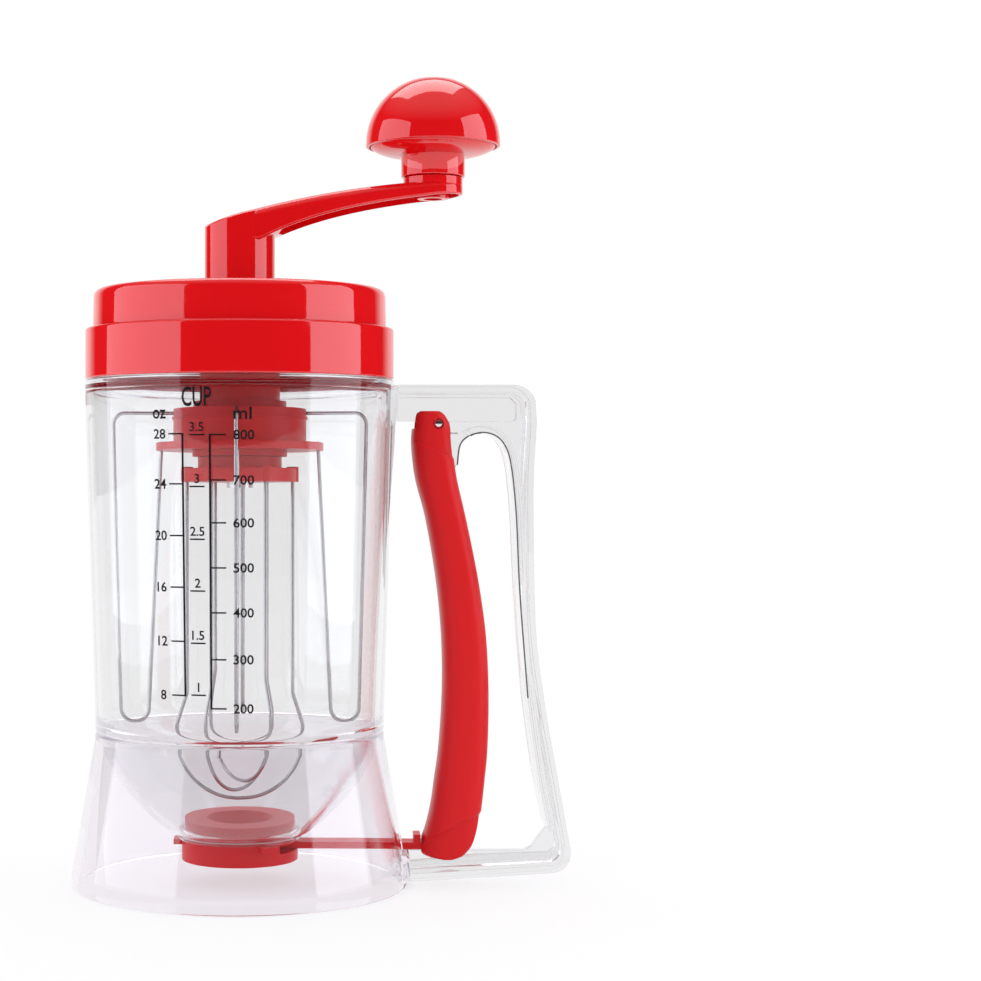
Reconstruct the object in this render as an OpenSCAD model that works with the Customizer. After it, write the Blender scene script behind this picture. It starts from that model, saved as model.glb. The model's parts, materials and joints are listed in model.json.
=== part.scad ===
// Hand-cranked batter mixer and dispenser. A clear jug stands on a flared skirt and ends
// in a bowl with a slide valve under it. The red screw lid holds a planetary gear that
// turns an inner and an outer wire whisk against each other. A squeeze lever in the
// handle draws the valve open.
// Millimetres, +Z up. The origin is the middle of the foot, on the table; +X is the handle.

/* [Jug] */
// Outer radius of the jug just under the lid
rim_r = 51.2; // [48:0.1:56]
// Outer radius of the jug where it meets the skirt
waist_r = 47.7; // [45:0.1:52]
// Wall of the jug
jug_wall = 2.2; // [1.6:0.1:2.8]
// Height of the ledge that the lid screws down to
ledge_z = 166.2; // [150:0.1:185]
// How far the neck is set in from the rim
neck_step = 3.3; // [2.8:0.1:4]
// Height of the neck above the ledge
neck_h = 12.7; // [10:0.1:16]
// Height of the shoulder where the skirt joins the jug
shoulder_z = 51; // [46:0.1:58]
// Height of the underside of the outlet collar
collar_z = 14.9; // [13:0.1:18]
// Outer radius of the outlet collar
collar_r = 20.6; // [20:0.1:22]
// Height of the outlet collar
collar_h = 2.6; // [2:0.1:3.4]

/* [Skirt] */
// Outer radius of the foot
foot_r = 55.4; // [52:0.1:62]
// Wall of the skirt
skirt_wall = 2.3; // [1.8:0.1:3]
// Height of the rolled lip round the foot
lip_h = 4.5; // [3:0.1:6]

/* [Lid] */
// Wall of the lid
lid_wall = 2.1; // [1.6:0.1:2.6]
// Room for the screw thread between neck and lid
thread_gap = 1; // [0.7:0.05:1.4]
// Height of the lower band
band_h = 16.6; // [15:0.1:20]
// Height of the upper step
cap_h = 13; // [10:0.1:18]
// How far the upper step is set in
cap_step = 2.6; // [1.5:0.1:4]
// Radius of the upper step's top edge
cap_edge = 2; // [1:0.1:3]
// Thickness of the sealing ring
seal_t = 2; // [1.5:0.1:2.5]
// Outer radius of the boss under the lid
boss_r = 13.3; // [12.8:0.1:15]
// Radius of the flange on the end of that boss
boss_flange_r = 15.4; // [14.5:0.1:17]
// Distance from the lid's edge down to the end of the boss
boss_drop = 8.5; // [7:0.1:12]
// Number of stiffening ribs inside the lid
rib_count = 6; // [4:1:10]

/* [Crank] */
// Distance from the crank's axis to the knob's axis
crank_reach = 64; // [54:0.5:76]
// Radius of the post
post_r = 11.6; // [10.5:0.1:13]
// Height of the post's top edge above the lid, on the side away from the knob
post_h = 22.4; // [19:0.1:28]
// How much higher the arm ends than it starts
arm_rise = 13; // [9:0.5:18]
// Depth of the arm at the knob end
arm_depth = 5.4; // [4.5:0.1:7]
// Wall of the hollow arm and post
arm_wall = 2.2; // [1.8:0.1:2.8]
// Radius of the boss under the knob
end_r = 9.8; // [9:0.1:11]
// Height of that boss above the arm
end_h = 1.8; // [1:0.1:4]
// Radius of the drive shaft
shaft_r = 3; // [2.6:0.1:3.4]
// Wall of the bush round the shaft
bush_wall = 2.4; // [1.6:0.1:2.6]

/* [Knob] */
// Radius of the knob's dome
knob_r = 22.2; // [19:0.1:26]
// Radius of the knob's neck
grip_neck_r = 10.5; // [9.5:0.1:12]
// Height of that neck
grip_neck_h = 8.2; // [6:0.1:12]
// Radius of the cap let into the top of the knob
knob_cap_r = 7; // [6:0.1:8.5]
// Radius of the screw that the knob turns on
knob_screw_r = 3; // [2.4:0.1:3.6]

/* [Whisks] */
// Radius of the steel wire
wire_r = 0.6; // [0.5:0.05:0.8]
// Distance of the outer wires from the axis at their top corner
outer_top_r = 42.2; // [40:0.1:43]
// Distance of the outer wires from the axis at their foot
outer_foot_r = 39.4; // [37:0.1:41]
// Width of each outer wire loop at its foot
loop_w = 9.1; // [8:0.1:11]
// Height of the foot of the outer wires
outer_foot_z = 53.6; // [50:0.1:60]
// Distance of the inner wires from the axis
inner_leg_r = 17.5; // [16:0.1:18]
// Distance of the inner wires from the axis at their belly
belly_r = 20.9; // [19:0.1:22]
// Height of the lowest wire
whisk_foot_z = 27.5; // [25:0.1:34]
// Height step from one crossing wire to the next
wire_step = 3; // [2:0.1:4]

/* [Gears] */
// Module of the gears
gear_module = 1; // [0.95:0.01:1.05]
// Teeth of the sun gear
sun_teeth = 12; // [12:6:12]
// Teeth of each planet gear
planet_teeth = 12; // [12:6:12]
// Height of the gears
gear_h = 5.9; // [4.5:0.1:7]
// Play between meshing teeth, along the pitch circle
backlash = 0.24; // [0.2:0.01:0.35]
// Radius of the planet pins
planet_pin_r = 1.6; // [1.3:0.1:1.9]
// Wall of the gear drum outside its teeth
drum_wall = 3; // [2.6:0.1:4]
// Thickness of the drum's top plate
drum_top_t = 2.6; // [2.2:0.1:3.4]
// Outer radius of the flange under the drum
flange_r = 27.7; // [27:0.1:31]
// Thickness of that flange
flange_t = 2.5; // [2:0.1:3.5]
// Radius of the disc that carries the inner wires
disc_r = 18.8; // [18.5:0.1:20]
// Thickness of that disc
disc_t = 4.4; // [4:0.1:6]
// Height of the neck between the disc and the drum
hub_neck_h = 3.8; // [3:0.1:6]

/* [Valve] */
// Radius of the outlet
outlet_r = 6.3; // [5:0.1:7.5]
// Radius of the funnel's mouth above the outlet
funnel_r = 10.9; // [9:0.1:13]
// Radius of the valve body under the collar
valve_r = 19.2; // [18.7:0.1:20]
// Height of the valve body under the collar
valve_h = 7; // [6.6:0.1:9]
// How far the valve body stands up inside the jug
spigot_h = 6.4; // [5:0.1:8]
// Wall between that spigot and the outside of the valve body
spigot_set_in = 0.8; // [0.5:0.1:1.2]
// Radius of the valve's disc
paddle_r = 13.6; // [12.5:0.1:14.5]
// Thickness of the valve's slide
paddle_t = 2.2; // [1.8:0.1:2.4]
// Width of the slide's strap
strap_w = 8; // [6:0.1:9]

/* [Lever and handle] */
// Distance of the lever's pivot from the jug's rim
pivot_out = 14.2; // [13:0.1:17]
// Depth of the pivot under the ledge
pivot_drop = 14.4; // [13:0.1:17]
// Radius of the pivot pin
pin_r = 1.7; // [1.4:0.1:2]
// Wall of the lever
lever_wall = 2; // [1.6:0.1:2.4]
// Depth of the lever's grip, front to back
grip_depth = 20; // [18:0.1:24]
// Depth of the lever's head and foot, front to back
head_depth = 17; // [15.5:0.1:18]
// Depth of the handle frame, front to back
frame_depth = 26; // [24:0.5:32]
// Thickness of the frame's outer rim
frame_rim = 2.5; // [2:0.1:3]
// Thickness of the frame's middle web
web_t = 3; // [2.4:0.1:3.6]
// Distance from the jug's rim to the outside of the handle
handle_out = 45.8; // [42:0.1:52]

/* [Fits] */
// Radial clearance of a part that turns on another
running_fit = 0.06; // [0.03:0.01:0.09]
// Radial clearance of a part that is pressed in
press_fit = 0.02; // [0.01:0.01:0.05]
// Gap between parts that pass each other
free_gap = 0.3; // [0.25:0.05:0.5]

/* [Hidden] */
$fn = 96;
TINY = 0.01;
OVER = 1;

RED = [0.84, 0.07, 0.09];
CLEAR = [0.88, 0.88, 0.93, 0.35];
STEEL = [0.72, 0.73, 0.75];
NYLON = [0.93, 0.92, 0.88];
SILICONE = [0.95, 0.95, 0.95, 0.8];

// ---- curves ---------------------------------------------------------------------------

// Point on a quadratic curve that leaves a towards b and arrives at c from b
function bend(a, b, c, t) = (1 - t) * (1 - t) * a + 2 * t * (1 - t) * b + t * t * c;
function bend_points(a, b, c, n) = [for (i = [0 : n]) bend(a, b, c, i / n)];

// Points on an arc about c, from angle a0 to a1
function arc(c, r, a0, a1, n) =
    [for (i = [0 : n]) c + r * [cos(a0 + (a1 - a0) * i / n), sin(a0 + (a1 - a0) * i / n)]];

// Smooth curve through every point of p, with n steps between two points
function between(a, b, c, d, t) =
    0.5 * (2 * b + (c - a) * t + (2 * a - 5 * b + 4 * c - d) * t * t
           + (3 * b - a - 3 * c + d) * t * t * t);
function through(p, n) = concat(
    [for (i = [0 : len(p) - 2], j = [0 : n - 1])
        between(p[max(i - 1, 0)], p[i], p[i + 1], p[min(i + 2, len(p) - 1)], j / n)],
    [p[len(p) - 1]]);

// The same curve moved sideways by d, to the left of its direction
function unit(v) = v / norm(v);
function left_of(v) = [-v[1], v[0]];
function sideways(p, d) = [for (i = [0 : len(p) - 1])
    p[i] + d * left_of(unit(p[min(i + 1, len(p) - 1)] - p[max(i - 1, 0)]))];
function backwards(p) = [for (i = [len(p) - 1 : -1 : 0]) p[i]];
function part_of(p, a, b) = [for (i = [a : b]) p[i]];

// Side view outline (x, z) made into a plate of depth w, centred on y = 0
module plate(outline, w) {
    rotate([90, 0, 0]) translate([0, 0, -w / 2]) linear_extrude(w) polygon(outline);
}

module tube(z0, z1, r_out, r_in) {
    translate([0, 0, z0]) difference() {
        cylinder(h = z1 - z0, r = r_out);
        translate([0, 0, -OVER]) cylinder(h = z1 - z0 + 2 * OVER, r = r_in);
    }
}

module drill(z0, z1, r) {
    translate([0, 0, z0]) cylinder(h = z1 - z0, r = r);
}

// ---- wire and coil --------------------------------------------------------------------

function turn_at(a, b, c) = acos(max(-1, min(1, unit(b - a) * unit(c - b))));
// Points round the bend of radius r at b, between the runs from a and to c
function bend_at(a, b, c, r, n) =
    let (turn = turn_at(a, b, c), u = unit(b - a), v = unit(c - b), cut = r * tan(turn / 2),
         centre = b + unit(v - u) * r / cos(turn / 2), x = unit(b - u * cut - centre))
    [for (i = [0 : n]) centre + r * (x * cos(turn * i / n) + u * sin(turn * i / n))];
// Path along p (x, z) with a bend of the given radius at each inner point
function bent_path(p, radii, n) = concat([p[0]],
    [for (i = [1 : len(p) - 2]) each bend_at(p[i - 1], p[i], p[i + 1], radii[i - 1], n[i - 1])],
    [p[len(p) - 1]]);

// Ring of points round a path that runs along direction d
function ring_at(p, d, r, sides) =
    let (side = unit(cross(d, [0, 1, 0.001])), over = unit(cross(side, d)))
    [for (k = [0 : sides - 1]) let (a = 360 * k / sides) p + r * (side * cos(a) + over * sin(a))];

// Closed skin over rings of s points each
function skin_faces(n, s) = concat(
    [[for (k = [s - 1 : -1 : 0]) k]],
    [for (i = [0 : n - 2], k = [0 : s - 1])
        [i * s + k, i * s + (k + 1) % s, (i + 1) * s + (k + 1) % s, (i + 1) * s + k]],
    [[for (k = [0 : s - 1]) (n - 1) * s + k]]);

// Round wire of radius r along a path in space
module wire_along(path, r, sides) {
    n = len(path);
    polyhedron([for (i = [0 : n - 1]) each ring_at(path[i],
        unit(path[min(i + 1, n - 1)] - path[max(i - 1, 0)]), r, sides)], skin_faces(n, sides));
}

wire_sides = 8;
module bent_wire(p, radii, n) {
    wire_along([for (q = bent_path(p, radii, n)) [q[0], 0, q[1]]], wire_r, wire_sides);
}

// ---- gears ----------------------------------------------------------------------------

pressure = 25;
addendum = 0.8 * gear_module;
dedendum = 1.02 * gear_module;
flank_steps = 4;
sun_pitch_r = gear_module * sun_teeth / 2;
planet_pitch_r = gear_module * planet_teeth / 2;
ring_teeth = sun_teeth + 2 * planet_teeth;
ring_pitch_r = gear_module * ring_teeth / 2;
planet_orbit = sun_pitch_r + planet_pitch_r;
planet_angles = [90, 210, 330];
screw_angles = [30, 150, 270];

function involute(a) = tan(a) * 180 / PI - a;
// Half the angle that a tooth takes up at radius r
function half_tooth(r, teeth, slack) =
    let (pitch_r = gear_module * teeth / 2, base_r = pitch_r * cos(pressure))
    90 / teeth - slack / 2 / pitch_r * 180 / PI + involute(pressure)
    - involute(acos(min(1, base_r / r)));
function polar(r, a) = [r * cos(a), r * sin(a)];
// Outline of a spur gear; slack narrows each tooth, and a negative slack widens it
function gear_outline(teeth, up, down, slack) =
    let (pitch_r = gear_module * teeth / 2, root = pitch_r - down, tip = pitch_r + up,
         low = max(root, pitch_r * cos(pressure)))
    [for (k = [0 : teeth - 1]) let (a = 360 / teeth * k) each concat(
        low > root ? [polar(root, a - half_tooth(low, teeth, slack))] : [],
        [for (i = [0 : flank_steps]) let (r = low + (tip - low) * i / flank_steps)
            polar(r, a - half_tooth(r, teeth, slack))],
        [for (i = [flank_steps : -1 : 0]) let (r = low + (tip - low) * i / flank_steps)
            polar(r, a + half_tooth(r, teeth, slack))],
        low > root ? [polar(root, a + half_tooth(low, teeth, slack))] : [])];

// ---- heights and radii that follow from the sizes above --------------------------------

neck_r = rim_r - neck_step;
neck_in_r = neck_r - jug_wall;
neck_z = ledge_z + neck_h;
band_in_r = neck_r + thread_gap;
band_r = band_in_r + lid_wall;
cap_r = band_r - cap_step;
cap_in_r = min(cap_r - lid_wall, neck_r - 1);
lid_z = ledge_z + free_gap;
seal_top_z = neck_z + seal_t;
band_z = lid_z + band_h;
cap_z = band_z + cap_h;
boss_top_z = cap_z - lid_wall;

// The gear drum hangs under the lid's boss
boss_z = lid_z - boss_drop;
drum_gap = 0.2;
drum_z1 = boss_z - drum_gap;
drum_plate_z = drum_z1 - drum_top_t;
carrier_top_z = drum_plate_z - drum_gap;
carrier_t = 1.8;
carrier_z = carrier_top_z - carrier_t;
gear_z1 = carrier_z - free_gap;
gear_z = gear_z1 - gear_h;
drum_z = gear_z - 0.5;
flange_z = drum_z - flange_t;
step_z = flange_z - 2;
drum_in_r = ring_pitch_r + dedendum;
drum_r = drum_in_r + drum_wall;
bush_r = shaft_r + running_fit + bush_wall;
carrier_hub_r = 9.4;
carrier_screw_orbit = 7.5;
carrier_screw_r = 1.1;
screw_head_r = 1.9;
hub_neck_z = step_z - drum_gap - hub_neck_h;
disc_z = hub_neck_z - disc_t;
spigot_r = 5.5;
wire_z = drum_plate_z + drum_top_t / 2;

// The crank stands on the lid
post_z = cap_z + free_gap;
thrust_t = 0.8;
hex_z = cap_z + thrust_t + drum_gap;
arm_z = cap_z + post_h;
end_z = arm_z + arm_rise;
end_top_z = end_z + end_h;
grip_z = end_top_z + drum_gap;
dome_z = grip_z + grip_neck_h + 2.8;

// The valve hangs under the collar
valve_z = collar_z - valve_h;
slot_top_z = collar_z - 0.9;
slide_gap = 0.2;
slide_z = slot_top_z - slide_gap - paddle_t;
recess_r = paddle_r - 0.8;
collar_bore = valve_r - spigot_set_in + free_gap;

// The lever hangs from its pin and reaches down to the slide's strap
pivot_x = rim_r + pivot_out;
pivot_z = ledge_z - pivot_drop;
lever_foot_z = slide_z - 2.8;
lever_top_z = pivot_z + 4.1;
lever_h = lever_top_z - lever_foot_z;
lever_front_x = pivot_x - 5.6;
handle_x = rim_r + handle_out;

// ---- jug ------------------------------------------------------------------------------

// Outer radius of the jug's straight wall at height z
waist_z = shoulder_z + 3;
function jug_r(z) = waist_r + (rim_r - waist_r) * (z - waist_z) / (ledge_z - waist_z);

bowl_top_r = waist_r - 1.8;
bowl_steps = 10;
// The bowl curves from the collar up into the wall; in moves it inwards by the wall
function bowl_curve(in) = bend_points(
    [collar_r - in * 0.6, collar_z + in * 0.9],
    [bowl_top_r - in, collar_z + 20 + in * 0.3],
    [bowl_top_r - in, shoulder_z], bowl_steps);

pad_depth = frame_depth;
pad_top_z = ledge_z - 1.9;
pad_z = pivot_z + 0.8;
pad_x = rim_r + 0.7;

module jug_outside() {
    rotate_extrude() polygon(concat(
        [[0, collar_z], [collar_r, collar_z], [collar_r, collar_z + collar_h * 0.4]],
        part_of(bowl_curve(0), 1, bowl_steps),
        [[waist_r - 0.4, shoulder_z], [waist_r, shoulder_z + 0.5], [waist_r, waist_z]],
        [[jug_r(ledge_z - 6), ledge_z - 6]],
        arc([rim_r - 0.8, ledge_z - 0.8], 0.8, 0, 90, 4),
        [[neck_r, ledge_z]],
        arc([neck_r - 0.7, neck_z - 0.7], 0.7, 0, 90, 3),
        [[0, neck_z]]));
}

module jug_inside() {
    rotate_extrude() polygon(concat(
        [[0, collar_z + jug_wall], [collar_bore, collar_z + jug_wall]],
        part_of(bowl_curve(jug_wall), 1, bowl_steps - 1),
        [[waist_r - jug_wall - 1, shoulder_z + 1], [waist_r - jug_wall, waist_z + 2]],
        [[jug_r(ledge_z - 6) - jug_wall, ledge_z - 6]],
        [[neck_in_r, ledge_z - 1], [neck_in_r, neck_z + OVER], [0, neck_z + OVER]]));
}

module jug_body() {
    color(CLEAR) difference() {
        union() {
            jug_outside();
            // flat pad that the handle's top bar is welded to
            translate([neck_in_r - 4, -pad_depth / 2, pad_z])
                cube([pad_x - neck_in_r + 4, pad_depth, pad_top_z - pad_z]);
            // raised ring inside the bowl, round the valve's spigot
            drill(collar_z, collar_z + collar_h + jug_wall / 2, collar_bore + 1.2);
        }
        difference() {
            jug_inside();
            tube(collar_z, collar_z + collar_h + jug_wall / 2, collar_bore + 1.2, collar_bore);
        }
        drill(collar_z - OVER, collar_z + collar_h + jug_wall, collar_bore);
    }
}

// ---- skirt ----------------------------------------------------------------------------

strap_slot = strap_w + 2 * 0.6;
skirt_pad_z = 2.8;
skirt_pad_top = slide_z - 0.7;
skirt_pad_x = foot_r + 0.3;

function skirt_curve(in) = bend_points(
    [waist_r - in + 0.1, shoulder_z - 3],
    [waist_r + 2.2 - in, shoulder_z - 16],
    [foot_r - in, lip_h], 8);

module base_skirt() {
    color(CLEAR) difference() {
        union() {
            rotate_extrude() polygon(concat(
                [[foot_r - skirt_wall, 0], [foot_r - 0.8, 0]],
                arc([foot_r - 0.8, 0.8], 0.8, -60, 0, 3),
                [[foot_r, lip_h - 1]],
                backwards(skirt_curve(0)),
                [[waist_r, shoulder_z - 1], [waist_r - 0.4, shoulder_z - TINY],
                 [bowl_top_r + 0.1, shoulder_z - TINY], [bowl_top_r + 0.1, shoulder_z - 6]],
                part_of(skirt_curve(skirt_wall), 2, 8)));
            // flat pad that the handle's bottom bar is welded to
            intersection() {
                translate([foot_r - 8, -pad_depth / 2, skirt_pad_z])
                    cube([skirt_pad_x - foot_r + 8, pad_depth, skirt_pad_top - skirt_pad_z]);
                tube(0, shoulder_z, foot_r + 9, foot_r - skirt_wall);
            }
        }
        // slot for the slide's strap
        translate([foot_r - 10, -strap_slot / 2, slide_z - 0.5])
            cube([20, strap_slot, paddle_t + 1]);
    }
}

// ---- handle frame -----------------------------------------------------------------------

frame_top = pad_top_z;
frame_foot = skirt_pad_z - 0.2;
post_low = skirt_pad_top;
// height at a share f of the handle's height
function up(f) = frame_foot + f * (frame_top - frame_foot);

// Outer edge of the handle, from the jug's pad round to the skirt's pad
outer_edge = concat(
    [[pad_x, frame_top]],
    arc([handle_x - 7.6, frame_top - 7.6], 7.6, 90, 20, 6),
    part_of(through([
        [handle_x - 0.4, up(0.96)], [handle_x, up(0.925)], [handle_x - 1.1, up(0.79)],
        [handle_x - 0.4, up(0.52)], [handle_x + 2.4, up(0.365)], [handle_x + 7, up(0.2)],
        [handle_x + 10.8, up(0.07)]], 4), 4, 24),
    arc([handle_x + 4.7, frame_foot + 9.2], 6.4, 10, -86, 6),
    [[skirt_pad_x, frame_foot]]);
frame_ends = [[skirt_pad_x, post_low], [pad_x, pad_z]];

// Inner edge of the post: the arch beside the lever's head, down to the bottom corner
arch = through([
    [pivot_x + 6.6, pivot_z - 13.3], [pivot_x + 7.5, pivot_z - 7], [pivot_x + 10.3, pivot_z - 4],
    [pivot_x + 14.2, pivot_z - 3], [pivot_x + 18.2, pivot_z - 4], [pivot_x + 21.2, pivot_z - 7],
    [handle_x - 8.3, pivot_z - 13.3], [handle_x - 6.6, up(0.74)], [handle_x - 5.4, up(0.58)],
    [handle_x - 2.8, up(0.37)], [handle_x + 1.2, up(0.19)], [handle_x + 4.2, up(0.1)]], 4);
arch_top = 8;
gusset = [[handle_x + 4.2, up(0.1)], [handle_x - 0.8, post_low + 1.2], [handle_x - 3, post_low]];

// Edge of the web hidden inside the lever's head
web_edge = [[pad_x - OVER, pad_z], [pivot_x - 6.5, pad_z], [pivot_x - 4.2, pivot_z - 1.5],
            [pivot_x - 2.6, pivot_z - 6], [pivot_x + 1.6, pivot_z - 13],
            [pivot_x + 5, pivot_z - 15.4]];
ear_r = 4;

module handle_frame() {
    color(CLEAR) difference() {
        union() {
            // web
            difference() {
                plate(concat(outer_edge, frame_ends), web_t);
                plate(concat(web_edge, arch, gusset, [[skirt_pad_x - OVER, post_low]]),
                    web_t + OVER);
            }
            // outer rim, from pad to pad
            difference() {
                plate(concat(outer_edge, frame_ends), frame_depth);
                plate(concat([[pad_x - OVER, frame_top - frame_rim]],
                    part_of(sideways(outer_edge, -frame_rim), 1, len(outer_edge) - 2),
                    [[skirt_pad_x - OVER, frame_foot + frame_rim],
                     [skirt_pad_x - OVER, post_low], [pad_x - OVER, pad_z - OVER]]),
                    frame_depth + OVER);
            }
            // inner rim along the arch and the post
            plate(concat(part_of(arch, arch_top, len(arch) - 1),
                backwards(part_of(sideways(arch, 2.2), arch_top, len(arch) - 1))),
                frame_depth - 2);
            // thick strip along the top bar, with a rounded end
            intersection() {
                plate(concat(outer_edge, frame_ends), web_t + 1.4);
                plate([[pad_x, pad_z], [handle_x - 6.5, pad_z],
                       [handle_x - 5.5, pad_z + 1], [handle_x - 5.5, pad_z + 5.9],
                       [handle_x - 7.5, pad_z + 7.9], [pad_x, pad_z + 7.9]], 2 * web_t);
            }
            // ear round the pivot pin
            translate([pivot_x, 0, pivot_z]) rotate([90, 0, 0])
                cylinder(h = web_t + 1.4, r = ear_r, center = true);
        }
        translate([pivot_x, 0, pivot_z]) rotate([90, 0, 0])
            cylinder(h = frame_depth, r = pin_r + press_fit, center = true);
    }
}

module lever_pivot_pin() {
    color(STEEL) translate([pivot_x, 0, pivot_z]) rotate([90, 0, 0])
        cylinder(h = head_depth - 1.6, r = pin_r, center = true);
}

// ---- lever spring: a close coil round the pin with a leg at each end --------------------

spring_wire = 0.35;
spring_r = pin_r + 0.9 + spring_wire;
spring_turns = 3.25;
spring_leg = 7;
coil_steps = 56;
spring_y = (web_t + 1.4) / 2 + 0.35 + spring_wire;
spring_pitch = 2 * spring_wire + 0.06;

// Middle of the wire at step i, seen from the pin's middle
function coil_point(i) = let (a = -90 + 360 * spring_turns * i / coil_steps)
    [spring_r * cos(a), spring_y + spring_pitch * spring_turns * i / coil_steps,
     spring_r * sin(a)];
spring_end_a = -90 + 360 * spring_turns;
spring_path = concat(
    [coil_point(0) + [spring_leg, 0, 0]],
    [for (i = [0 : coil_steps]) coil_point(i)],
    [coil_point(coil_steps) + spring_leg * [-sin(spring_end_a), 0, cos(spring_end_a)] * -1]);

module lever_spring() {
    color(STEEL) translate([pivot_x, 0, pivot_z]) wire_along(spring_path, spring_wire, 6);
}

// ---- valve ------------------------------------------------------------------------------

lug_angles = [180, 62, -62];
lug_w = 6;
lug_out = 2.6;
spigot_out_r = collar_bore - free_gap;
seal_ring_h = 1.2;
groove_z = collar_z + 1.1;
groove_h = seal_ring_h + 0.2;
groove_r = spigot_out_r - 1;

module valve_body() {
    color(RED) difference() {
        union() {
            drill(valve_z, collar_z, valve_r);
            drill(collar_z - TINY, collar_z + spigot_h, spigot_out_r);
            // bayonet lugs
            for (a = lug_angles) rotate(a) translate([valve_r - 1, -lug_w / 2, collar_z - 2.1])
                cube([lug_out + 1, lug_w, 1.8]);
        }
        // funnel and outlet
        translate([0, 0, slot_top_z - TINY])
            cylinder(h = collar_z + spigot_h - slot_top_z + 2 * TINY, r1 = outlet_r, r2 = funnel_r);
        // room for the slide, open towards the handle
        drill(slide_z - slide_gap, slot_top_z, paddle_r + slide_gap);
        translate([0, -paddle_r - slide_gap, slide_z - slide_gap])
            cube([valve_r + lug_out + OVER, 2 * (paddle_r + slide_gap),
                  slot_top_z - slide_z + slide_gap]);
        // recess under the slide
        drill(valve_z - OVER, slide_z, recess_r);
        // groove for the outlet seal
        tube(groove_z, groove_z + groove_h, valve_r + OVER, groove_r);
    }
}

module outlet_seal() {
    color(SILICONE) tube(groove_z, groove_z + seal_ring_h, collar_bore - press_fit,
        groove_r + press_fit);
}

foot_wall_x = lever_front_x + 0.5;
hook_gap = 0.6;
hook_h = 3.4;
hook_t = 2.4;
bump_r = 1.1;
// the lever's wall leans out this far over the height of the hook
wall_lean = 0.7;
strap_end = foot_wall_x + lever_wall + wall_lean + hook_gap + hook_t;

module valve_slide() {
    color(RED) {
        drill(slide_z, slide_z + paddle_t, paddle_r);
        translate([paddle_r - 2, -strap_w / 2, slide_z])
            cube([strap_end - paddle_r + 2, strap_w, paddle_t]);
        // bump outside the lever's wall and hook inside it
        translate([foot_wall_x - hook_gap - bump_r, 0, slide_z + paddle_t]) rotate([90, 0, 0])
            cylinder(h = strap_w, r = bump_r, center = true);
        translate([foot_wall_x - hook_gap - 2 * bump_r, -strap_w / 2, slide_z + paddle_t - TINY])
            cube([2 * bump_r, strap_w, hook_h - 0.8]);
        translate([strap_end - hook_t, -strap_w / 2, slide_z + paddle_t - TINY])
            cube([hook_t, strap_w, hook_h]);
    }
}

// ---- lever ------------------------------------------------------------------------------

// Stations down the lever: share of its height, middle of its side view from the pivot,
// half its width there, and how far it has widened from the head's depth to the grip's
lever_stations = [
    [1.000, -1.9, 2.2, 0], [0.985, -1.8, 4.7, 0], [0.955, -1.7, 6.4, 0], [0.905, -1.6, 7.0, 0.5],
    [0.85, -0.3, 7.0, 1], [0.76, 2.9, 6.8, 1], [0.625, 6.6, 7.1, 1], [0.5, 8.8, 7.5, 1],
    [0.375, 9.4, 7.8, 1], [0.25, 8.7, 8.2, 1], [0.14, 7.1, 8.5, 1], [0.075, 5.4, 9.0, 0.5],
    [0.034, 3.2, 8.6, 0], [0.010, 1.6, 6.9, 0], [0.000, 2.2, 4.2, 0]];
lever_curve = through(lever_stations, 3);
ring_sides = 28;
roundness = 3;

function soft(v) = sign(v) * pow(abs(v), 2 / roundness);
function lever_depth(s) = (head_depth + (grip_depth - head_depth) * max(0, min(1, s[3]))) / 2;
function lever_ring(s) = [for (k = [0 : ring_sides - 1]) let (a = 360 * k / ring_sides)
    [pivot_x + s[1] + s[2] * soft(cos(a)), lever_depth(s) * soft(sin(a)),
     lever_foot_z + lever_h * s[0]]];

module lever_solid() {
    polyhedron([for (c = lever_curve) each lever_ring(c)],
        skin_faces(len(lever_curve), ring_sides));
}

// Side view of the hollow, open towards the post; it follows the lever's front wall
lever_hollow = concat(
    [for (c = lever_curve) [pivot_x + c[1] - c[2] + lever_wall, lever_foot_z + lever_h * c[0]]],
    [[pivot_x + 3, lever_foot_z - OVER], [pivot_x + 40, lever_foot_z - OVER],
     [pivot_x + 40, lever_top_z + OVER], [pivot_x - 1, lever_top_z + OVER]]);
cheek = 2.2;

module dispensing_lever() {
    inner = head_depth - 2 * cheek;
    color(RED) difference() {
        lever_solid();
        plate(lever_hollow, inner);
        // the head is open between its cheeks, round the handle's web
        translate([pivot_x - 20, -inner / 2, pivot_z - 1.6]) cube([40, inner, 20]);
        // notch in the foot for the strap and the web
        translate([pivot_x - 20, -strap_slot / 2, lever_foot_z - OVER])
            cube([20, strap_slot, slide_z + paddle_t + 1 - lever_foot_z + OVER]);
        translate([pivot_x, 0, pivot_z]) rotate([90, 0, 0])
            cylinder(h = grip_depth + OVER, r = pin_r + running_fit, center = true);
    }
}

// ---- lid --------------------------------------------------------------------------------

module lid_seal() {
    color(SILICONE) tube(neck_z, seal_top_z, neck_r - 0.9, neck_in_r + 0.3);
}

rib_t = 1.6;
rib_h = 6;
band_edge = 0.9;

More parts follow.
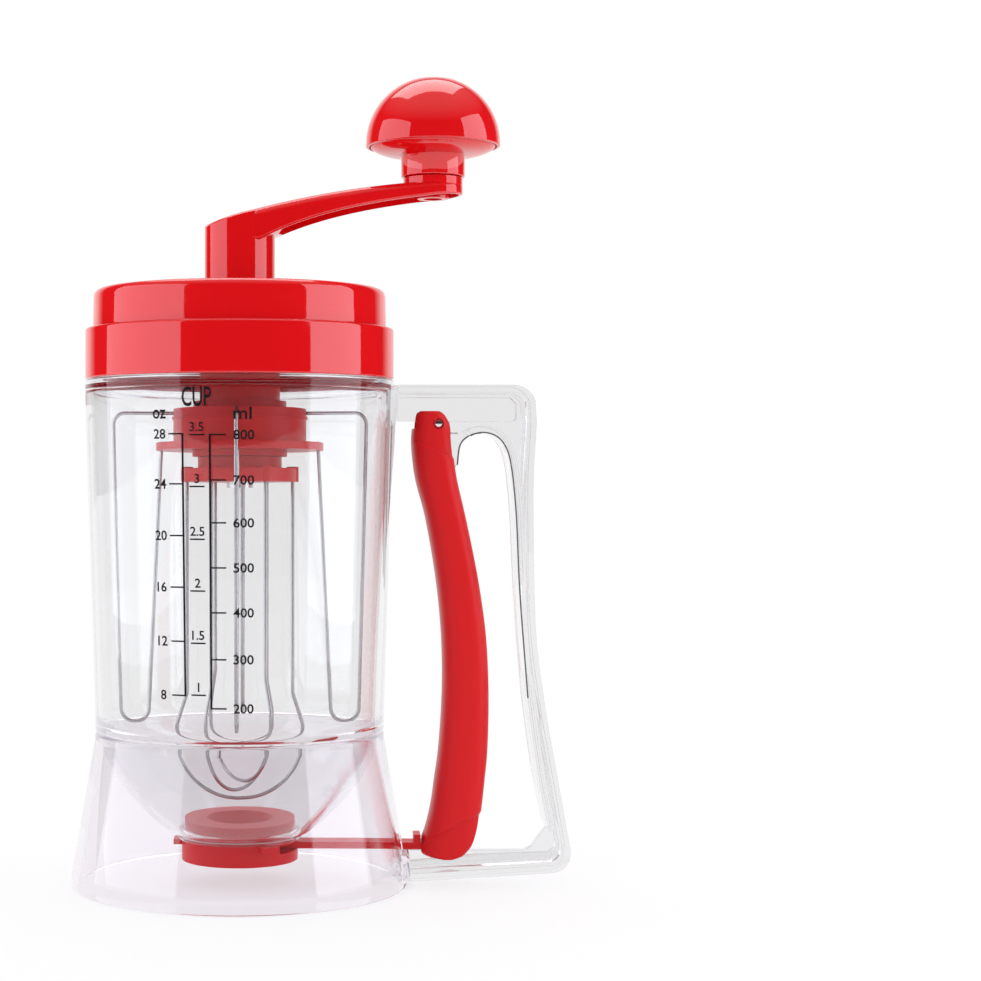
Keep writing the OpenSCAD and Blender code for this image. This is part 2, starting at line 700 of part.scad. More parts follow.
module screw_lid() {
    color(RED) difference() {
        union() {
            rotate_extrude() polygon(concat(
                [[0, boss_top_z], [cap_in_r, boss_top_z], [cap_in_r, seal_top_z],
                 [band_in_r, seal_top_z], [band_in_r, lid_z], [band_r - 0.5, lid_z],
                 [band_r, lid_z + 0.5]],
                arc([band_r - band_edge, band_z - band_edge], band_edge, 0, 90, 4),
                [[cap_r, band_z]],
                arc([cap_r - cap_edge, cap_z - cap_edge], cap_edge, 0, 90, 6),
                [[0, cap_z]]));
            // ribs, from clear of the boss into the wall
            for (k = [0 : rib_count - 1]) rotate(360 / rib_count * (k + 0.5))
                translate([boss_r + free_gap, -rib_t / 2, boss_top_z - rib_h])
                    cube([cap_in_r - boss_r, rib_t, rib_h + lid_wall / 2]);
        }
        drill(boss_top_z - OVER, cap_z + OVER, bush_r + press_fit);
    }
}

boss_flange_t = 2.4;
boss_wall = 2;
screw_post_wall = 1.3;
screw_post_h = 7.6;
bush_seat_wall = 1.2;
bush_seat_h = 5.6;
boss_hollow_z = boss_z + boss_flange_t;

// The boss is welded under the lid's top. It holds the bush, and the gear carrier is screwed to it
module lid_boss() {
    color(RED) difference() {
        union() {
            drill(boss_z, boss_top_z, boss_r);
            drill(boss_z, boss_hollow_z, boss_flange_r);
        }
        // hollow with three screw posts and the seat of the bush left standing
        difference() {
            drill(boss_hollow_z, boss_top_z + OVER, boss_r - boss_wall);
            for (a = screw_angles) rotate(a) translate([carrier_screw_orbit, 0, 0])
                drill(boss_z + OVER, boss_hollow_z + screw_post_h, carrier_screw_r + screw_post_wall);
            drill(boss_z + OVER, boss_hollow_z + bush_seat_h, bush_r + bush_seat_wall);
        }
        drill(boss_z - OVER, boss_top_z + OVER, bush_r + press_fit);
        for (a = screw_angles) rotate(a) translate([carrier_screw_orbit, 0, 0])
            drill(boss_z - OVER, boss_hollow_z + screw_post_h - OVER, carrier_screw_r + press_fit);
    }
}

module crank_bush() {
    color(NYLON) {
        tube(boss_z, cap_z + TINY, bush_r, shaft_r + running_fit);
        tube(cap_z, cap_z + thrust_t, bush_r + 2, shaft_r + running_fit);
    }
}

carrier_rim = 1.6;
screw_head_h = 1.4;
screw_gap = 0.1;
screw_top_z = boss_hollow_z + screw_post_h - 2;
pin_top_z = carrier_top_z - 0.5;

module gear_carrier() {
    color(NYLON) difference() {
        union() {
            drill(carrier_z, carrier_top_z, planet_orbit + planet_pin_r + carrier_rim);
            drill(carrier_z, boss_z, carrier_hub_r);
        }
        drill(carrier_z - OVER, boss_z + OVER, shaft_r + free_gap);
        for (a = screw_angles) rotate(a) translate([carrier_screw_orbit, 0, 0]) {
            drill(carrier_z - OVER, boss_z + OVER, carrier_screw_r + screw_gap);
            drill(carrier_z - OVER, carrier_z + screw_head_h, screw_head_r + screw_gap);
        }
        for (a = planet_angles) rotate(a) translate([planet_orbit, 0, 0])
            drill(carrier_z - OVER, pin_top_z, planet_pin_r + press_fit);
    }
}

module carrier_screws() {
    color(STEEL) for (a = screw_angles) rotate(a) translate([carrier_screw_orbit, 0, 0]) {
        drill(carrier_z, carrier_z + screw_head_h, screw_head_r);
        drill(carrier_z + screw_head_h / 2, screw_top_z, carrier_screw_r);
    }
}

module planet_pins() {
    color(STEEL) for (a = planet_angles) rotate(a) translate([planet_orbit, 0, 0])
        drill(gear_z, pin_top_z, planet_pin_r);
}

module planet_gear(a) {
    color(NYLON) rotate(a) translate([planet_orbit, 0, gear_z]) rotate(-a) difference() {
        rotate(180 / planet_teeth)
            linear_extrude(gear_h) polygon(gear_outline(planet_teeth, addendum, dedendum, backlash / 2));
        translate([0, 0, -OVER]) cylinder(h = gear_h + 2 * OVER, r = planet_pin_r + running_fit);
    }
}
module planet_gear_1() planet_gear(planet_angles[0]);
module planet_gear_2() planet_gear(planet_angles[1]);
module planet_gear_3() planet_gear(planet_angles[2]);

// ---- crank ------------------------------------------------------------------------------

// Underside of the arm at the post, top of the post's core, and foot of the knob's screw
arm_root_z = arm_z - 6.5;
core_z = arm_z - 6;
core_wall = 2.6;
knob_screw_z = end_z - arm_depth * 0.35;

// Side view of the arm: it rises from the post in a long bow to the boss under the knob
arm_top = bend_points([-post_r, arm_z - 1.2], [crank_reach * 0.42, arm_z + arm_rise * 0.86],
                      [crank_reach, end_z], 12);
arm_under = bend_points([crank_reach + end_r, end_z - arm_depth * 0.7],
                        [crank_reach * 0.45, end_z - arm_depth * 1.35],
                        [post_r * 0.6, arm_root_z], 12);
arm_side = concat(arm_top, [[crank_reach + end_r, end_z]], arm_under, [[-post_r, arm_root_z]]);
arm_side_hollow = concat(
    [[-post_r + arm_wall, arm_z - 3.6]],
    part_of(sideways(arm_top, -arm_wall), 2, 10),
    [[crank_reach - end_r + 1, end_z - arm_wall - 0.3], [crank_reach - end_r + 1, arm_z - 12],
     [-post_r + arm_wall, arm_z - 12]]);

// Straight part of the arm in plan, a little narrower than the post and the boss
module arm_plan(in) {
    w0 = post_r - 0.9 - in;
    w1 = end_r - 0.9 - in;
    linear_extrude(end_z + OVER) polygon(
        [[0, w0], [crank_reach, w1], [crank_reach, -w1], [0, -w0]]);
}

module crank_arm() {
    post_side = concat(arm_top, [[crank_reach, post_z], [-post_r, post_z]]);
    color(RED) difference() {
        union() {
            intersection() {
                plate(arm_side, 3 * post_r);
                arm_plan(0);
            }
            intersection() {
                plate(post_side, 3 * post_r);
                drill(post_z, end_z, post_r);
            }
            intersection() {
                plate(arm_side, 3 * post_r);
                translate([crank_reach, 0, 0]) drill(post_z, end_z + OVER, end_r);
            }
            translate([crank_reach, 0, 0]) drill(end_z - 1, end_top_z, end_r);
        }
        // hollow of the arm, open below
        intersection() {
            plate(arm_side_hollow, 3 * post_r);
            difference() {
                arm_plan(arm_wall);
                drill(0, end_z, post_r);
            }
        }
        // hollow of the post, round its core
        tube(post_z - OVER, core_z, post_r - arm_wall, shaft_r + core_wall);
        // the core stops above the bush, and holds the shaft's six-sided end
        drill(post_z - OVER, hex_z, post_r - arm_wall);
        translate([0, 0, post_z - OVER])
            cylinder(h = core_z - post_z + OVER, r = shaft_r + press_fit, $fn = 6);
        translate([crank_reach, 0, 0])
            drill(knob_screw_z, end_top_z + OVER, knob_screw_r + press_fit);
    }
}

hub_screw_r = 1.5;
hub_screw_l = 8.6;
hub_screw_end_gap = 0.4;
shaft_z = disc_z + hub_screw_end_gap;

module drive_shaft() {
    color(STEEL) difference() {
        union() {
            translate([0, 0, shaft_z]) cylinder(h = core_z - shaft_z, r = shaft_r, $fn = 6);
            drill(gear_z1 + 0.2, hex_z, shaft_r);
        }
        drill(disc_z, disc_z + hub_screw_l + hub_screw_end_gap, hub_screw_r + press_fit);
    }
}

module sun_gear() {
    color(NYLON) translate([0, 0, gear_z]) difference() {
        linear_extrude(gear_h) polygon(gear_outline(sun_teeth, addendum, dedendum, backlash / 2));
        translate([0, 0, -OVER]) cylinder(h = gear_h + 2 * OVER, r = shaft_r + press_fit, $fn = 6);
    }
}

wire_depth = disc_t - 0.8;
hub_neck_out = 0.6;
wire_boss_wall = 1.4;
wire_boss_h = 0.6;

module inner_hub() {
    color(RED) difference() {
        union() {
            drill(disc_z, hub_neck_z, disc_r);
            drill(disc_z, step_z - drum_gap, boss_r + hub_neck_out);
            // spigot that the drum turns on, and the seat of the sun gear inside the planets
            drill(disc_z, gear_z - drum_gap, spigot_r);
            drill(disc_z, gear_z, sun_pitch_r - dedendum);
            // bosses round the wire ends
            for (a = [0 : 60 : 300]) rotate(a) translate([inner_leg_r, 0, 0])
                drill(disc_z, hub_neck_z + wire_boss_h, wire_r + wire_boss_wall);
        }
        for (a = [0 : 60 : 300]) rotate(a) translate([inner_leg_r, 0, 0])
            drill(disc_z - OVER, disc_z + wire_depth, wire_r + press_fit);
        translate([0, 0, disc_z - OVER])
            cylinder(h = gear_z - disc_z + 2 * OVER, r = shaft_r + press_fit, $fn = 6);
    }
}

module hub_screw() {
    color(STEEL) {
        drill(disc_z - 2, disc_z, shaft_r + 1.4);
        drill(disc_z - OVER, disc_z + hub_screw_l, hub_screw_r);
    }
}

// The belly starts at this height above its middle, and the legs swell over this length
belly_top = 4.1;
swell_l = 10.5;
swell_bend_r = 9;
belly_bend_r = belly_r - 0.5;

// One wire loop: two straight legs that swell into a round belly at the foot
module inner_wire(k) {
    foot = whisk_foot_z + wire_step * k;
    top = disc_z + wire_depth;
    belly_z = foot + belly_r + belly_top;
    swell_z = belly_z + swell_l;
    color(STEEL) rotate(60 * k) bent_wire(
        [[inner_leg_r, top], [inner_leg_r, swell_z], [belly_r, belly_z],
         [belly_r, foot], [-belly_r, foot],
         [-belly_r, belly_z], [-inner_leg_r, swell_z], [-inner_leg_r, top]],
        [swell_bend_r, swell_bend_r, belly_bend_r, belly_bend_r, swell_bend_r, swell_bend_r],
        [3, 3, 8, 8, 3, 3]);
}
module inner_wire_1() inner_wire(0);
module inner_wire_2() inner_wire(1);
module inner_wire_3() inner_wire(2);

// ---- knob -------------------------------------------------------------------------------

cap_seat_z = dome_z + knob_r - 5;
knob_head_z = dome_z + 10.3;
knob_head_h = 2.5;
knob_head_r = knob_screw_r + 2;
well_z = knob_head_z - free_gap;

module knob_screw() {
    color(STEEL) translate([crank_reach, 0, 0]) {
        drill(knob_screw_z, knob_head_z, knob_screw_r);
        drill(knob_head_z - TINY, knob_head_z + knob_head_h, knob_head_r);
    }
}

module dome_outline() {
    lip = 1.3;
    polygon(concat(
        [[0, grip_z], [grip_neck_r - 0.4, grip_z], [grip_neck_r, grip_z + 0.4],
         [grip_neck_r, dome_z - 3.4]],
        bend_points([grip_neck_r + 0.1, dome_z - 3.2], [grip_neck_r + 2, dome_z - 1.7],
                    [knob_r - lip, dome_z - 0.4], 4),
        [[knob_r - lip, dome_z - 1.2], [knob_r - 0.4, dome_z - 1.1], [knob_r, dome_z - 0.5]],
        arc([0, dome_z], knob_r, 0, 90, 18)));
}

module crank_knob() {
    color(RED) translate([crank_reach, 0, 0]) difference() {
        rotate_extrude() dome_outline();
        drill(grip_z - OVER, well_z + OVER, knob_screw_r + running_fit);
        drill(well_z, cap_seat_z + OVER, knob_head_r + 0.4);
        drill(cap_seat_z, dome_z + knob_r + OVER, knob_cap_r + press_fit);
    }
}

module knob_cap() {
    color(RED) translate([crank_reach, 0, 0]) intersection() {
        drill(cap_seat_z, dome_z + knob_r + OVER, knob_cap_r);
        rotate_extrude() dome_outline();
    }
}

// ---- outer whisk --------------------------------------------------------------------------

// How deep the outer wires sit in the drum, and the bead round the drum's top
wire_seat = 7;
bead_h = 0.8;
bead_out = 0.5;
teeth_top_z = gear_z1 + drum_gap;

module gear_drum() {
    color(RED) difference() {
        union() {
            drill(drum_z, drum_z1, drum_r);
            tube(drum_plate_z - bead_h, drum_plate_z, drum_r + bead_out, drum_r - OVER);
        }
        translate([0, 0, drum_z - OVER]) rotate(180 / ring_teeth)
            linear_extrude(teeth_top_z - drum_z + OVER)
                polygon(gear_outline(ring_teeth, dedendum, addendum, -backlash / 2));
        drill(teeth_top_z - drum_gap / 2, drum_plate_z, drum_in_r - dedendum / 2);
        drill(drum_z, drum_z1 + OVER, carrier_hub_r + running_fit);
        for (a = [0 : 90 : 270]) rotate(a) translate([0, 0, wire_z]) rotate([0, 90, 0])
            drill(drum_r - wire_seat, drum_r + OVER, wire_r + press_fit);
    }
}

step_out = 2.4;
leg_set_in = 1.8;

module drum_flange() {
    color(RED) difference() {
        union() {
            drill(flange_z, drum_z, flange_r);
            drill(step_z, drum_z, boss_r + step_out);
        }
        drill(step_z - OVER, drum_z + OVER, spigot_r + running_fit);
        for (a = [0 : 90 : 270]) rotate(a) inner_leg_bore();
    }
}

leg_end = [flange_r - leg_set_in, drum_z];
leg_foot = [outer_foot_r - loop_w, outer_foot_z];

// Hole through the flange along the wire's slanting inner leg
module inner_leg_bore() {
    d = unit(leg_end - leg_foot);
    run = (flange_t + 2 * OVER) / d[1];
    translate([leg_end[0] - run * d[0], 0, leg_end[1] - run * d[1]]) rotate([0, atan2(d[0], d[1]), 0])
        cylinder(h = run + OVER, r = wire_r + press_fit);
}

outer_bend_r = 4;

// One hairpin: out of the drum, down along the wall, and back up to the flange
module outer_wire(k) {
    color(STEEL) rotate(90 * k) bent_wire(
        [[drum_r - wire_seat, wire_z], [outer_top_r, wire_z], [outer_foot_r, outer_foot_z],
         leg_foot, leg_end],
        [outer_bend_r, loop_w / 2, loop_w / 2], [6, 6, 6]);
}
module outer_wire_1() outer_wire(0);
module outer_wire_2() outer_wire(1);
module outer_wire_3() outer_wire(2);
module outer_wire_4() outer_wire(3);

jug_body();
base_skirt();
handle_frame();
lever_pivot_pin();
lever_spring();
valve_body();
outlet_seal();
valve_slide();
dispensing_lever();
lid_seal();
screw_lid();
lid_boss();
crank_bush();
gear_carrier();
carrier_screws();
planet_pins();
planet_gear_1();
planet_gear_2();
planet_gear_3();
crank_arm();
drive_shaft();
sun_gear();
inner_hub();
hub_screw();
inner_wire_1();
inner_wire_2();
inner_wire_3();
knob_screw();
crank_knob();
knob_cap();
gear_drum();
drum_flange();
outer_wire_1();
outer_wire_2();
outer_wire_3();
outer_wire_4();
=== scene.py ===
# %% [markdown]
# # Pancake batter dispenser
# A clear jug with a red screw-on lid. Turning the crank spins two wire whisks in opposite
# directions, and squeezing the red lever opens a valve in the floor of the jug. The working
# parts come in as a fixed frame, at their real size. This lesson gives them their finishes,
# adds the smooth and printed pieces that a plain solid cannot hold, and lights them.

# %% Load the working parts
import json
import math

import bmesh
import bpy
import numpy as np
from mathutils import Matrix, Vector


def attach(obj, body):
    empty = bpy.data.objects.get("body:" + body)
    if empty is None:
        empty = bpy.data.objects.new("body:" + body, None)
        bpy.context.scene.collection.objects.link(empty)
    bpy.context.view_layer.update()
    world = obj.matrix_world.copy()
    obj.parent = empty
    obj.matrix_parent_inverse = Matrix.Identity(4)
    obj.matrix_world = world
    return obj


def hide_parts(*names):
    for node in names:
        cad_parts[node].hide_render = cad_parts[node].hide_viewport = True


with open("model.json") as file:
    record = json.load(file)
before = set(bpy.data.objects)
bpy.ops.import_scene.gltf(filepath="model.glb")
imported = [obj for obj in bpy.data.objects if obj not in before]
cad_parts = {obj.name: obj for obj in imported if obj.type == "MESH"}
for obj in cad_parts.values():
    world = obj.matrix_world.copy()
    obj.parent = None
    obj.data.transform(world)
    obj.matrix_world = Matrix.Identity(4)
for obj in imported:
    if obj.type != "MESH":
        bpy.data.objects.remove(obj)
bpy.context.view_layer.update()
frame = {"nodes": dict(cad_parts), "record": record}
nodes = frame["nodes"]
MM = 0.001


def add_object(name, data):
    """A new object in the scene that shows a mesh, a lamp or a camera."""
    thing = bpy.data.objects.new(name, data)
    bpy.context.scene.collection.objects.link(thing)
    return thing


# %% [markdown]
# ## The camera
# A level camera about 0.7 m away looks along +Y. Its picture is shifted sideways, so the jug's
# upright sides stay upright although it stands left of the middle.

# %% Camera
CAMERA_X = 0.020
CAMERA_DISTANCE = 0.70
CAMERA_HEIGHT = 0.135

camera = add_object("camera", bpy.data.cameras.new("camera"))
camera.location = (CAMERA_X, -CAMERA_DISTANCE, CAMERA_HEIGHT)
camera.rotation_euler = (math.radians(90), 0, 0)
camera.data.sensor_width = 36
camera.data.lens = 77.5
camera.data.shift_x = 0.194
camera.data.shift_y = -0.016
camera.data.clip_start = 0.01
bpy.context.scene.camera = camera
bpy.context.scene.view_settings.view_transform = "Standard"
print("lens", camera.data.lens, "mm, shift", round(camera.data.shift_x, 3))

# %% [markdown]
# ## Node helpers
# Every finish below is a small graph of shader nodes. These helpers add a node, set its plain
# values and link its sockets, so that a finish reads as a list of what it is made of.


# %% Helpers for node graphs
def feed(tree, socket, value):
    """Gives an input its value: a link from another node's output, or else a plain value."""
    if isinstance(value, bpy.types.NodeSocket):
        tree.links.new(value, socket)
    else:
        socket.default_value = value


def add_node(tree, kind, **values):
    """Adds a shader node. A value may be a number, a colour or another node's output socket.

    A name that is a property of the node itself, such as operation, is set before the sockets.
    _0 stands for the first socket, and Base_Color for the one called Base Color."""
    node = tree.nodes.new("ShaderNode" + kind)
    own = [name for name in values if name in node.bl_rna.properties.keys()]
    for name in own:
        setattr(node, name, values[name])
    for name, value in values.items():
        if name not in own:
            key = int(name[1:]) if name[0] == "_" else name.replace("_", " ")
            feed(tree, node.inputs[key], value)
    return node


def maths(tree, operation, first, second=0.0):
    """One Math node: first and second are numbers or sockets."""
    return add_node(tree, "Math", operation=operation, _0=first, _1=second).outputs[0]


def stretch(tree, value, low, high, to_low, to_high):
    """Maps value from low..high to to_low..to_high, held at both ends."""
    node = add_node(tree, "MapRange", Value=value, From_Min=low, From_Max=high,
                    To_Min=to_low, To_Max=to_high)
    return node.outputs["Result"]


def mix_colours(tree, share, first, second):
    """Blends two colours by share, from 0 for the first to 1 for the second."""
    node = add_node(tree, "Mix", data_type="RGBA", _0=share, _6=first, _7=second)
    return node.outputs[2]


def spot_on_piece(tree):
    """Object coordinates, which move with the piece."""
    return add_node(tree, "TexCoord").outputs["Object"]


def noise(tree, spot, scale, detail=2.0):
    """Smooth random values from 0 to 1, with about scale bumps to a metre."""
    return add_node(tree, "TexNoise", Vector=spot, Scale=scale, Detail=detail).outputs["Fac"]


def new_finish(name):
    """An empty material with its output node, ready for a shader."""
    material = bpy.data.materials.new(name)
    material.use_nodes = True
    material.node_tree.nodes.clear()
    output = material.node_tree.nodes.new("ShaderNodeOutputMaterial")
    return material, material.node_tree, output


def linear(red, green, blue):
    """Turns a colour as a screen shows it, 0 to 255, into the linear light a shader works in."""
    share = np.array((red, green, blue)) / 255
    light = np.where(share <= 0.04045, share / 12.92, ((share + 0.055) / 1.055) ** 2.4)
    return (*(float(v) for v in light), 1.0)


print("a mid red in linear light:", [round(v, 3) for v in linear(215, 20, 25)])

# %% [markdown]
# ## Studio light
# A white sweep stands behind and a softbox on each side. Gloss shows them as pale upright bands
# with dark gaps between, which is what makes red plastic look polished. The world does four
# jobs: it is white where it is seen directly, a studio with a dim front where gloss reflects
# it, a wide white sweep with grey card in front where it is seen through clear walls, and a
# plain grey where it only lights.

# %% World
world = bpy.data.worlds.new("studio")
bpy.context.scene.world = world
world.use_nodes = True
tree = world.node_tree
tree.nodes.clear()
direction = add_node(tree, "TexCoord").outputs["Generated"]
axes = add_node(tree, "SeparateXYZ", Vector=direction)
sweep = stretch(tree, axes.outputs["Y"], 0.68, 0.84, 0.03, 1.0)
overhead = stretch(tree, axes.outputs["Z"], 0.5, 0.9, 0.0, 0.5)
studio = maths(tree, "MAXIMUM", sweep, overhead)
light_path = add_node(tree, "LightPath")
AMBIENT, CARD = 0.76, 0.50
scattered = maths(tree, "GREATER_THAN", light_path.outputs["Diffuse Depth"], 0.5)
bounced = maths(tree, "GREATER_THAN", light_path.outputs["Glossy Depth"], 0.5)
passed = maths(tree, "GREATER_THAN", light_path.outputs["Transmission Depth"], 0.5)
wide_sweep = stretch(tree, axes.outputs["Y"], 0.25, 0.72, CARD, 1.0)
mirrored = mix_colours(tree, bounced, (1, 1, 1, 1), studio)
inside = mix_colours(tree, passed, mirrored, wide_sweep)
colour = mix_colours(tree, scattered, inside, (AMBIENT, AMBIENT, AMBIENT, 1))
background = add_node(tree, "Background", Color=colour, Strength=1.0)
world_output = add_node(tree, "OutputWorld", Surface=background.outputs[0])
print("world nodes:", len(tree.nodes))


# %% Softboxes
JUG_MIDDLE = Vector((0, 0, 0.14))
COOL = (0.94, 0.985, 1.07)


def softbox(name, azimuth, distance, width, height, brightness, tone=(1, 1, 1), lift=0.0):
    """A rectangular lamp that faces the jug. Azimuth 0 is behind the camera, 90 on its right.

    Its power is brightness x area x pi, so that brightness is what a mirror would show. Tone
    is its colour, and lift is how far it hangs above the jug's middle."""
    lamp = bpy.data.lights.new(name, "AREA")
    lamp.shape, lamp.size, lamp.size_y = "RECTANGLE", width, height
    lamp.energy, lamp.color = brightness * width * height * math.pi, tone
    holder = add_object(name, lamp)
    turn = math.radians(azimuth)
    away = Vector((distance * math.sin(turn), -distance * math.cos(turn), lift))
    holder.location = JUG_MIDDLE + away
    holder.rotation_euler = (-away).to_track_quat("-Z", "Y").to_euler()
    holder.visible_camera = False
    return holder


lamps = [
    softbox("softbox_left", -76, 0.80, 1.12, 1.30, 1.5, COOL),
    softbox("softbox_right", 76, 0.80, 0.68, 1.30, 2.0, COOL),
    softbox("softbox_top", 180, 0.30, 0.80, 0.60, 2.4, lift=0.85),
]
print("lamps:", [(lamp.name, round(lamp.data.energy, 2)) for lamp in lamps])

# %% [markdown]
# ## The floor
# The floor has to be pale, keep the shadow under the jug and fade into the white sweep with no
# seam. Near the object it is mostly a lit matt surface, most of all inside the foot ring, and
# further out it turns by degrees into plain white. Inside the foot ring less white is mixed in,
# so the lamps' real shadow shows there and the floor is darker still: partly painted shade. The
# matt floor is tinted pink-lavender, a painted cast standing in for light coloured by the red
# parts and the skirt. Light that only bounces meets matt floor.

# %% Floor
FLOOR_SIZE, FLOOR_DROP = 6.0, 0.0002
corners = np.array([(-1, -1, 0), (1, -1, 0), (1, 1, 0), (-1, 1, 0)]) * FLOOR_SIZE / 2
corners[:, 2] = -FLOOR_DROP
floor_mesh = bpy.data.meshes.new("floor")
floor_mesh.from_pydata(corners.tolist(), [], [(0, 1, 2, 3)])
floor = add_object("floor", floor_mesh)

floor_finish, tree, output = new_finish("floor")
far = add_node(tree, "VectorMath", operation="LENGTH", _0=spot_on_piece(tree)).outputs["Value"]
# Painted shade: inside the foot ring less white glow is mixed in, so the floor under the jug is
# darker. The lamps' real shadow shows there too.
past_foot = stretch(tree, far, 0.050, 0.058, 0.45, 0.80)
fade = maths(tree, "MAXIMUM", past_foot, stretch(tree, far, 0.07, 0.24, 0.70, 1.0))
# Painted pink-lavender cast in the matt floor, standing in for light coloured by the red parts and
# the skirt.
matt = add_node(tree, "BsdfDiffuse", Color=(0.86, 0.82, 0.85, 1))
plain = add_node(tree, "Emission", Color=(1, 1, 1, 1), Strength=1.0)
blended = add_node(tree, "MixShader", _0=fade, _1=matt.outputs[0], _2=plain.outputs[0])
light_path = add_node(tree, "LightPath")
direct = maths(tree, "MAXIMUM", light_path.outputs["Is Camera Ray"],
               light_path.outputs["Is Transmission Ray"])
direct = maths(tree, "MAXIMUM", direct, light_path.outputs["Is Glossy Ray"])
shown = add_node(tree, "MixShader", _0=direct, _1=matt.outputs[0], _2=blended.outputs[0])
tree.links.new(shown.outputs[0], output.inputs["Surface"])
floor_mesh.materials.append(floor_finish)
print("floor:", FLOOR_SIZE, "m square")

# %% [markdown]
# ## Two effects that every moulded piece shares
# Injection moulding leaves a very faint ripple and a slightly uneven colour, and handling leaves
# hair-thin scratches. Both are groups of nodes, built once and given their own values by each
# finish. They read Object coordinates, so the pattern stays on the piece when it moves.


# %% Helper: a shader node group
def new_group(name, inputs, outputs):
    """A node group with named sockets. inputs holds (name, kind, value), outputs (name, kind)."""
    group = bpy.data.node_groups.new(name, "ShaderNodeTree")
    for label, kind, value in inputs:
        socket = group.interface.new_socket(label, in_out="INPUT", socket_type="NodeSocket" + kind)
        socket.default_value = value
    for label, kind in outputs:
        group.interface.new_socket(label, in_out="OUTPUT", socket_type="NodeSocket" + kind)
    return group, group.nodes.new("NodeGroupInput"), group.nodes.new("NodeGroupOutput")


def use_group(tree, group, **values):
    """Places a group in a material and sets its inputs."""
    return add_node(tree, "Group", node_tree=group, **values)


# %% Group: moulded surface
moulded, entry, leave = new_group(
    "moulded surface",
    [("Colour", "Color", (0.8, 0.8, 0.8, 1)), ("Variation", "Float", 0.05),
     ("Roughness", "Float", 0.2), ("Ripple", "Float", 0.2), ("Grain", "Float", 0.1)],
    [("Colour", "Color"), ("Roughness", "Float"), ("Height", "Float")],
)
spot = spot_on_piece(moulded)
cloudy = maths(moulded, "SUBTRACT", noise(moulded, spot, 45.0, 3.0), 0.5)
ripple = noise(moulded, spot, 260.0, 1.0)
grain = noise(moulded, spot, 2600.0)
swing = maths(moulded, "MULTIPLY", cloudy, entry.outputs["Variation"])
brighter = add_node(moulded, "HueSaturation", Color=entry.outputs["Colour"],
                    Value=maths(moulded, "ADD", 1.0, swing))
moulded.links.new(brighter.outputs[0], leave.inputs["Colour"])
uneven = maths(moulded, "ADD", 1.0, maths(moulded, "MULTIPLY", cloudy, 0.25))
rough = maths(moulded, "MULTIPLY", entry.outputs["Roughness"], uneven)
moulded.links.new(rough, leave.inputs["Roughness"])
height = maths(moulded, "ADD", maths(moulded, "MULTIPLY", ripple, entry.outputs["Ripple"]),
               maths(moulded, "MULTIPLY", grain, entry.outputs["Grain"]))
moulded.links.new(height, leave.inputs["Height"])
print("group:", moulded.name, [s.name for s in moulded.interface.items_tree])

# %% Group: fine scratches
scratches, entry, leave = new_group(
    "fine scratches",
    [("Size", "Float", 300.0), ("Amount", "Float", 0.3)],
    [("Mask", "Float")],
)
spot = spot_on_piece(scratches)
bent = add_node(scratches, "TexNoise", Vector=spot, Scale=30.0, Detail=1.0).outputs["Color"]
path = add_node(scratches, "VectorMath", operation="MULTIPLY_ADD", _0=bent,
                _1=(0.02, 0.02, 0.02), _2=spot)
lines = None
for turn in ((1.0, 0.06, 0.1), (0.08, 1.0, 0.5), (0.3, 0.1, 1.0)):
    squeezed = add_node(scratches, "VectorMath", operation="MULTIPLY",
                        _0=path.outputs[0], _1=turn)
    cells = noise(scratches, squeezed.outputs[0], entry.outputs["Size"])
    off_middle = maths(scratches, "ABSOLUTE", maths(scratches, "SUBTRACT", cells, 0.5))
    line = stretch(scratches, off_middle, 0.0, 0.006, 1.0, 0.0)
    lines = line if lines is None else maths(scratches, "MAXIMUM", lines, line)
kept = stretch(scratches, noise(scratches, spot, 60.0), 0.5, 0.62, 0.0, 1.0)
mask = maths(scratches, "MULTIPLY", maths(scratches, "MULTIPLY", lines, kept),
             entry.outputs["Amount"])
scratches.links.new(mask, leave.inputs["Mask"])
print("group:", scratches.name, [s.name for s in scratches.interface.items_tree])

# %% [markdown]
# ## Red plastic
# The lid, crank and knob come from a polished mould: a sharp, hardly rippled gloss. The lever and
# the valve come from a blasted mould, so their shine is broad and soft. Both reds are the same
# plastic, and only roughness, ripple and grain differ.


# %% Finish: red and other moulded plastics
MOULD_DEPTH, PLASTIC_IOR = 0.0002, 1.49


def moulded_plastic(name, colour, roughness, ripple, grain, variation=0.06, scratch=0.0,
                    shine=0.5, bump=0.1):
    """A solid moulded plastic, a little uneven, whose Height carries the mould's texture."""
    material, tree, output = new_finish(name)
    surface = use_group(tree, moulded, Colour=colour, Variation=variation, Roughness=roughness,
                        Ripple=ripple, Grain=grain)
    worn = use_group(tree, scratches, Size=260.0, Amount=scratch)
    rough = maths(tree, "ADD", surface.outputs["Roughness"], worn.outputs["Mask"])
    relief = add_node(tree, "Bump", Height=surface.outputs["Height"], Strength=bump,
                      Distance=MOULD_DEPTH)
    shader = add_node(tree, "BsdfPrincipled", Base_Color=surface.outputs["Colour"],
                      Roughness=rough, Normal=relief.outputs[0], IOR=PLASTIC_IOR,
                      Specular_IOR_Level=shine)
    tree.links.new(shader.outputs[0], output.inputs["Surface"])
    return material


red_gloss = moulded_plastic("red_gloss", linear(218, 14, 20), 0.045, 0.5, 0.05,
                            scratch=0.10, shine=0.95)
red_satin = moulded_plastic("red_satin", linear(214, 16, 22), 0.36, 0.4, 0.7, shine=0.25, bump=0.2)
white_nylon = moulded_plastic("white_nylon", linear(238, 236, 228), 0.42, 0.3, 0.6, variation=0.03)
silicone = moulded_plastic("silicone", linear(232, 232, 230), 0.55, 0.2, 0.8, variation=0.03)
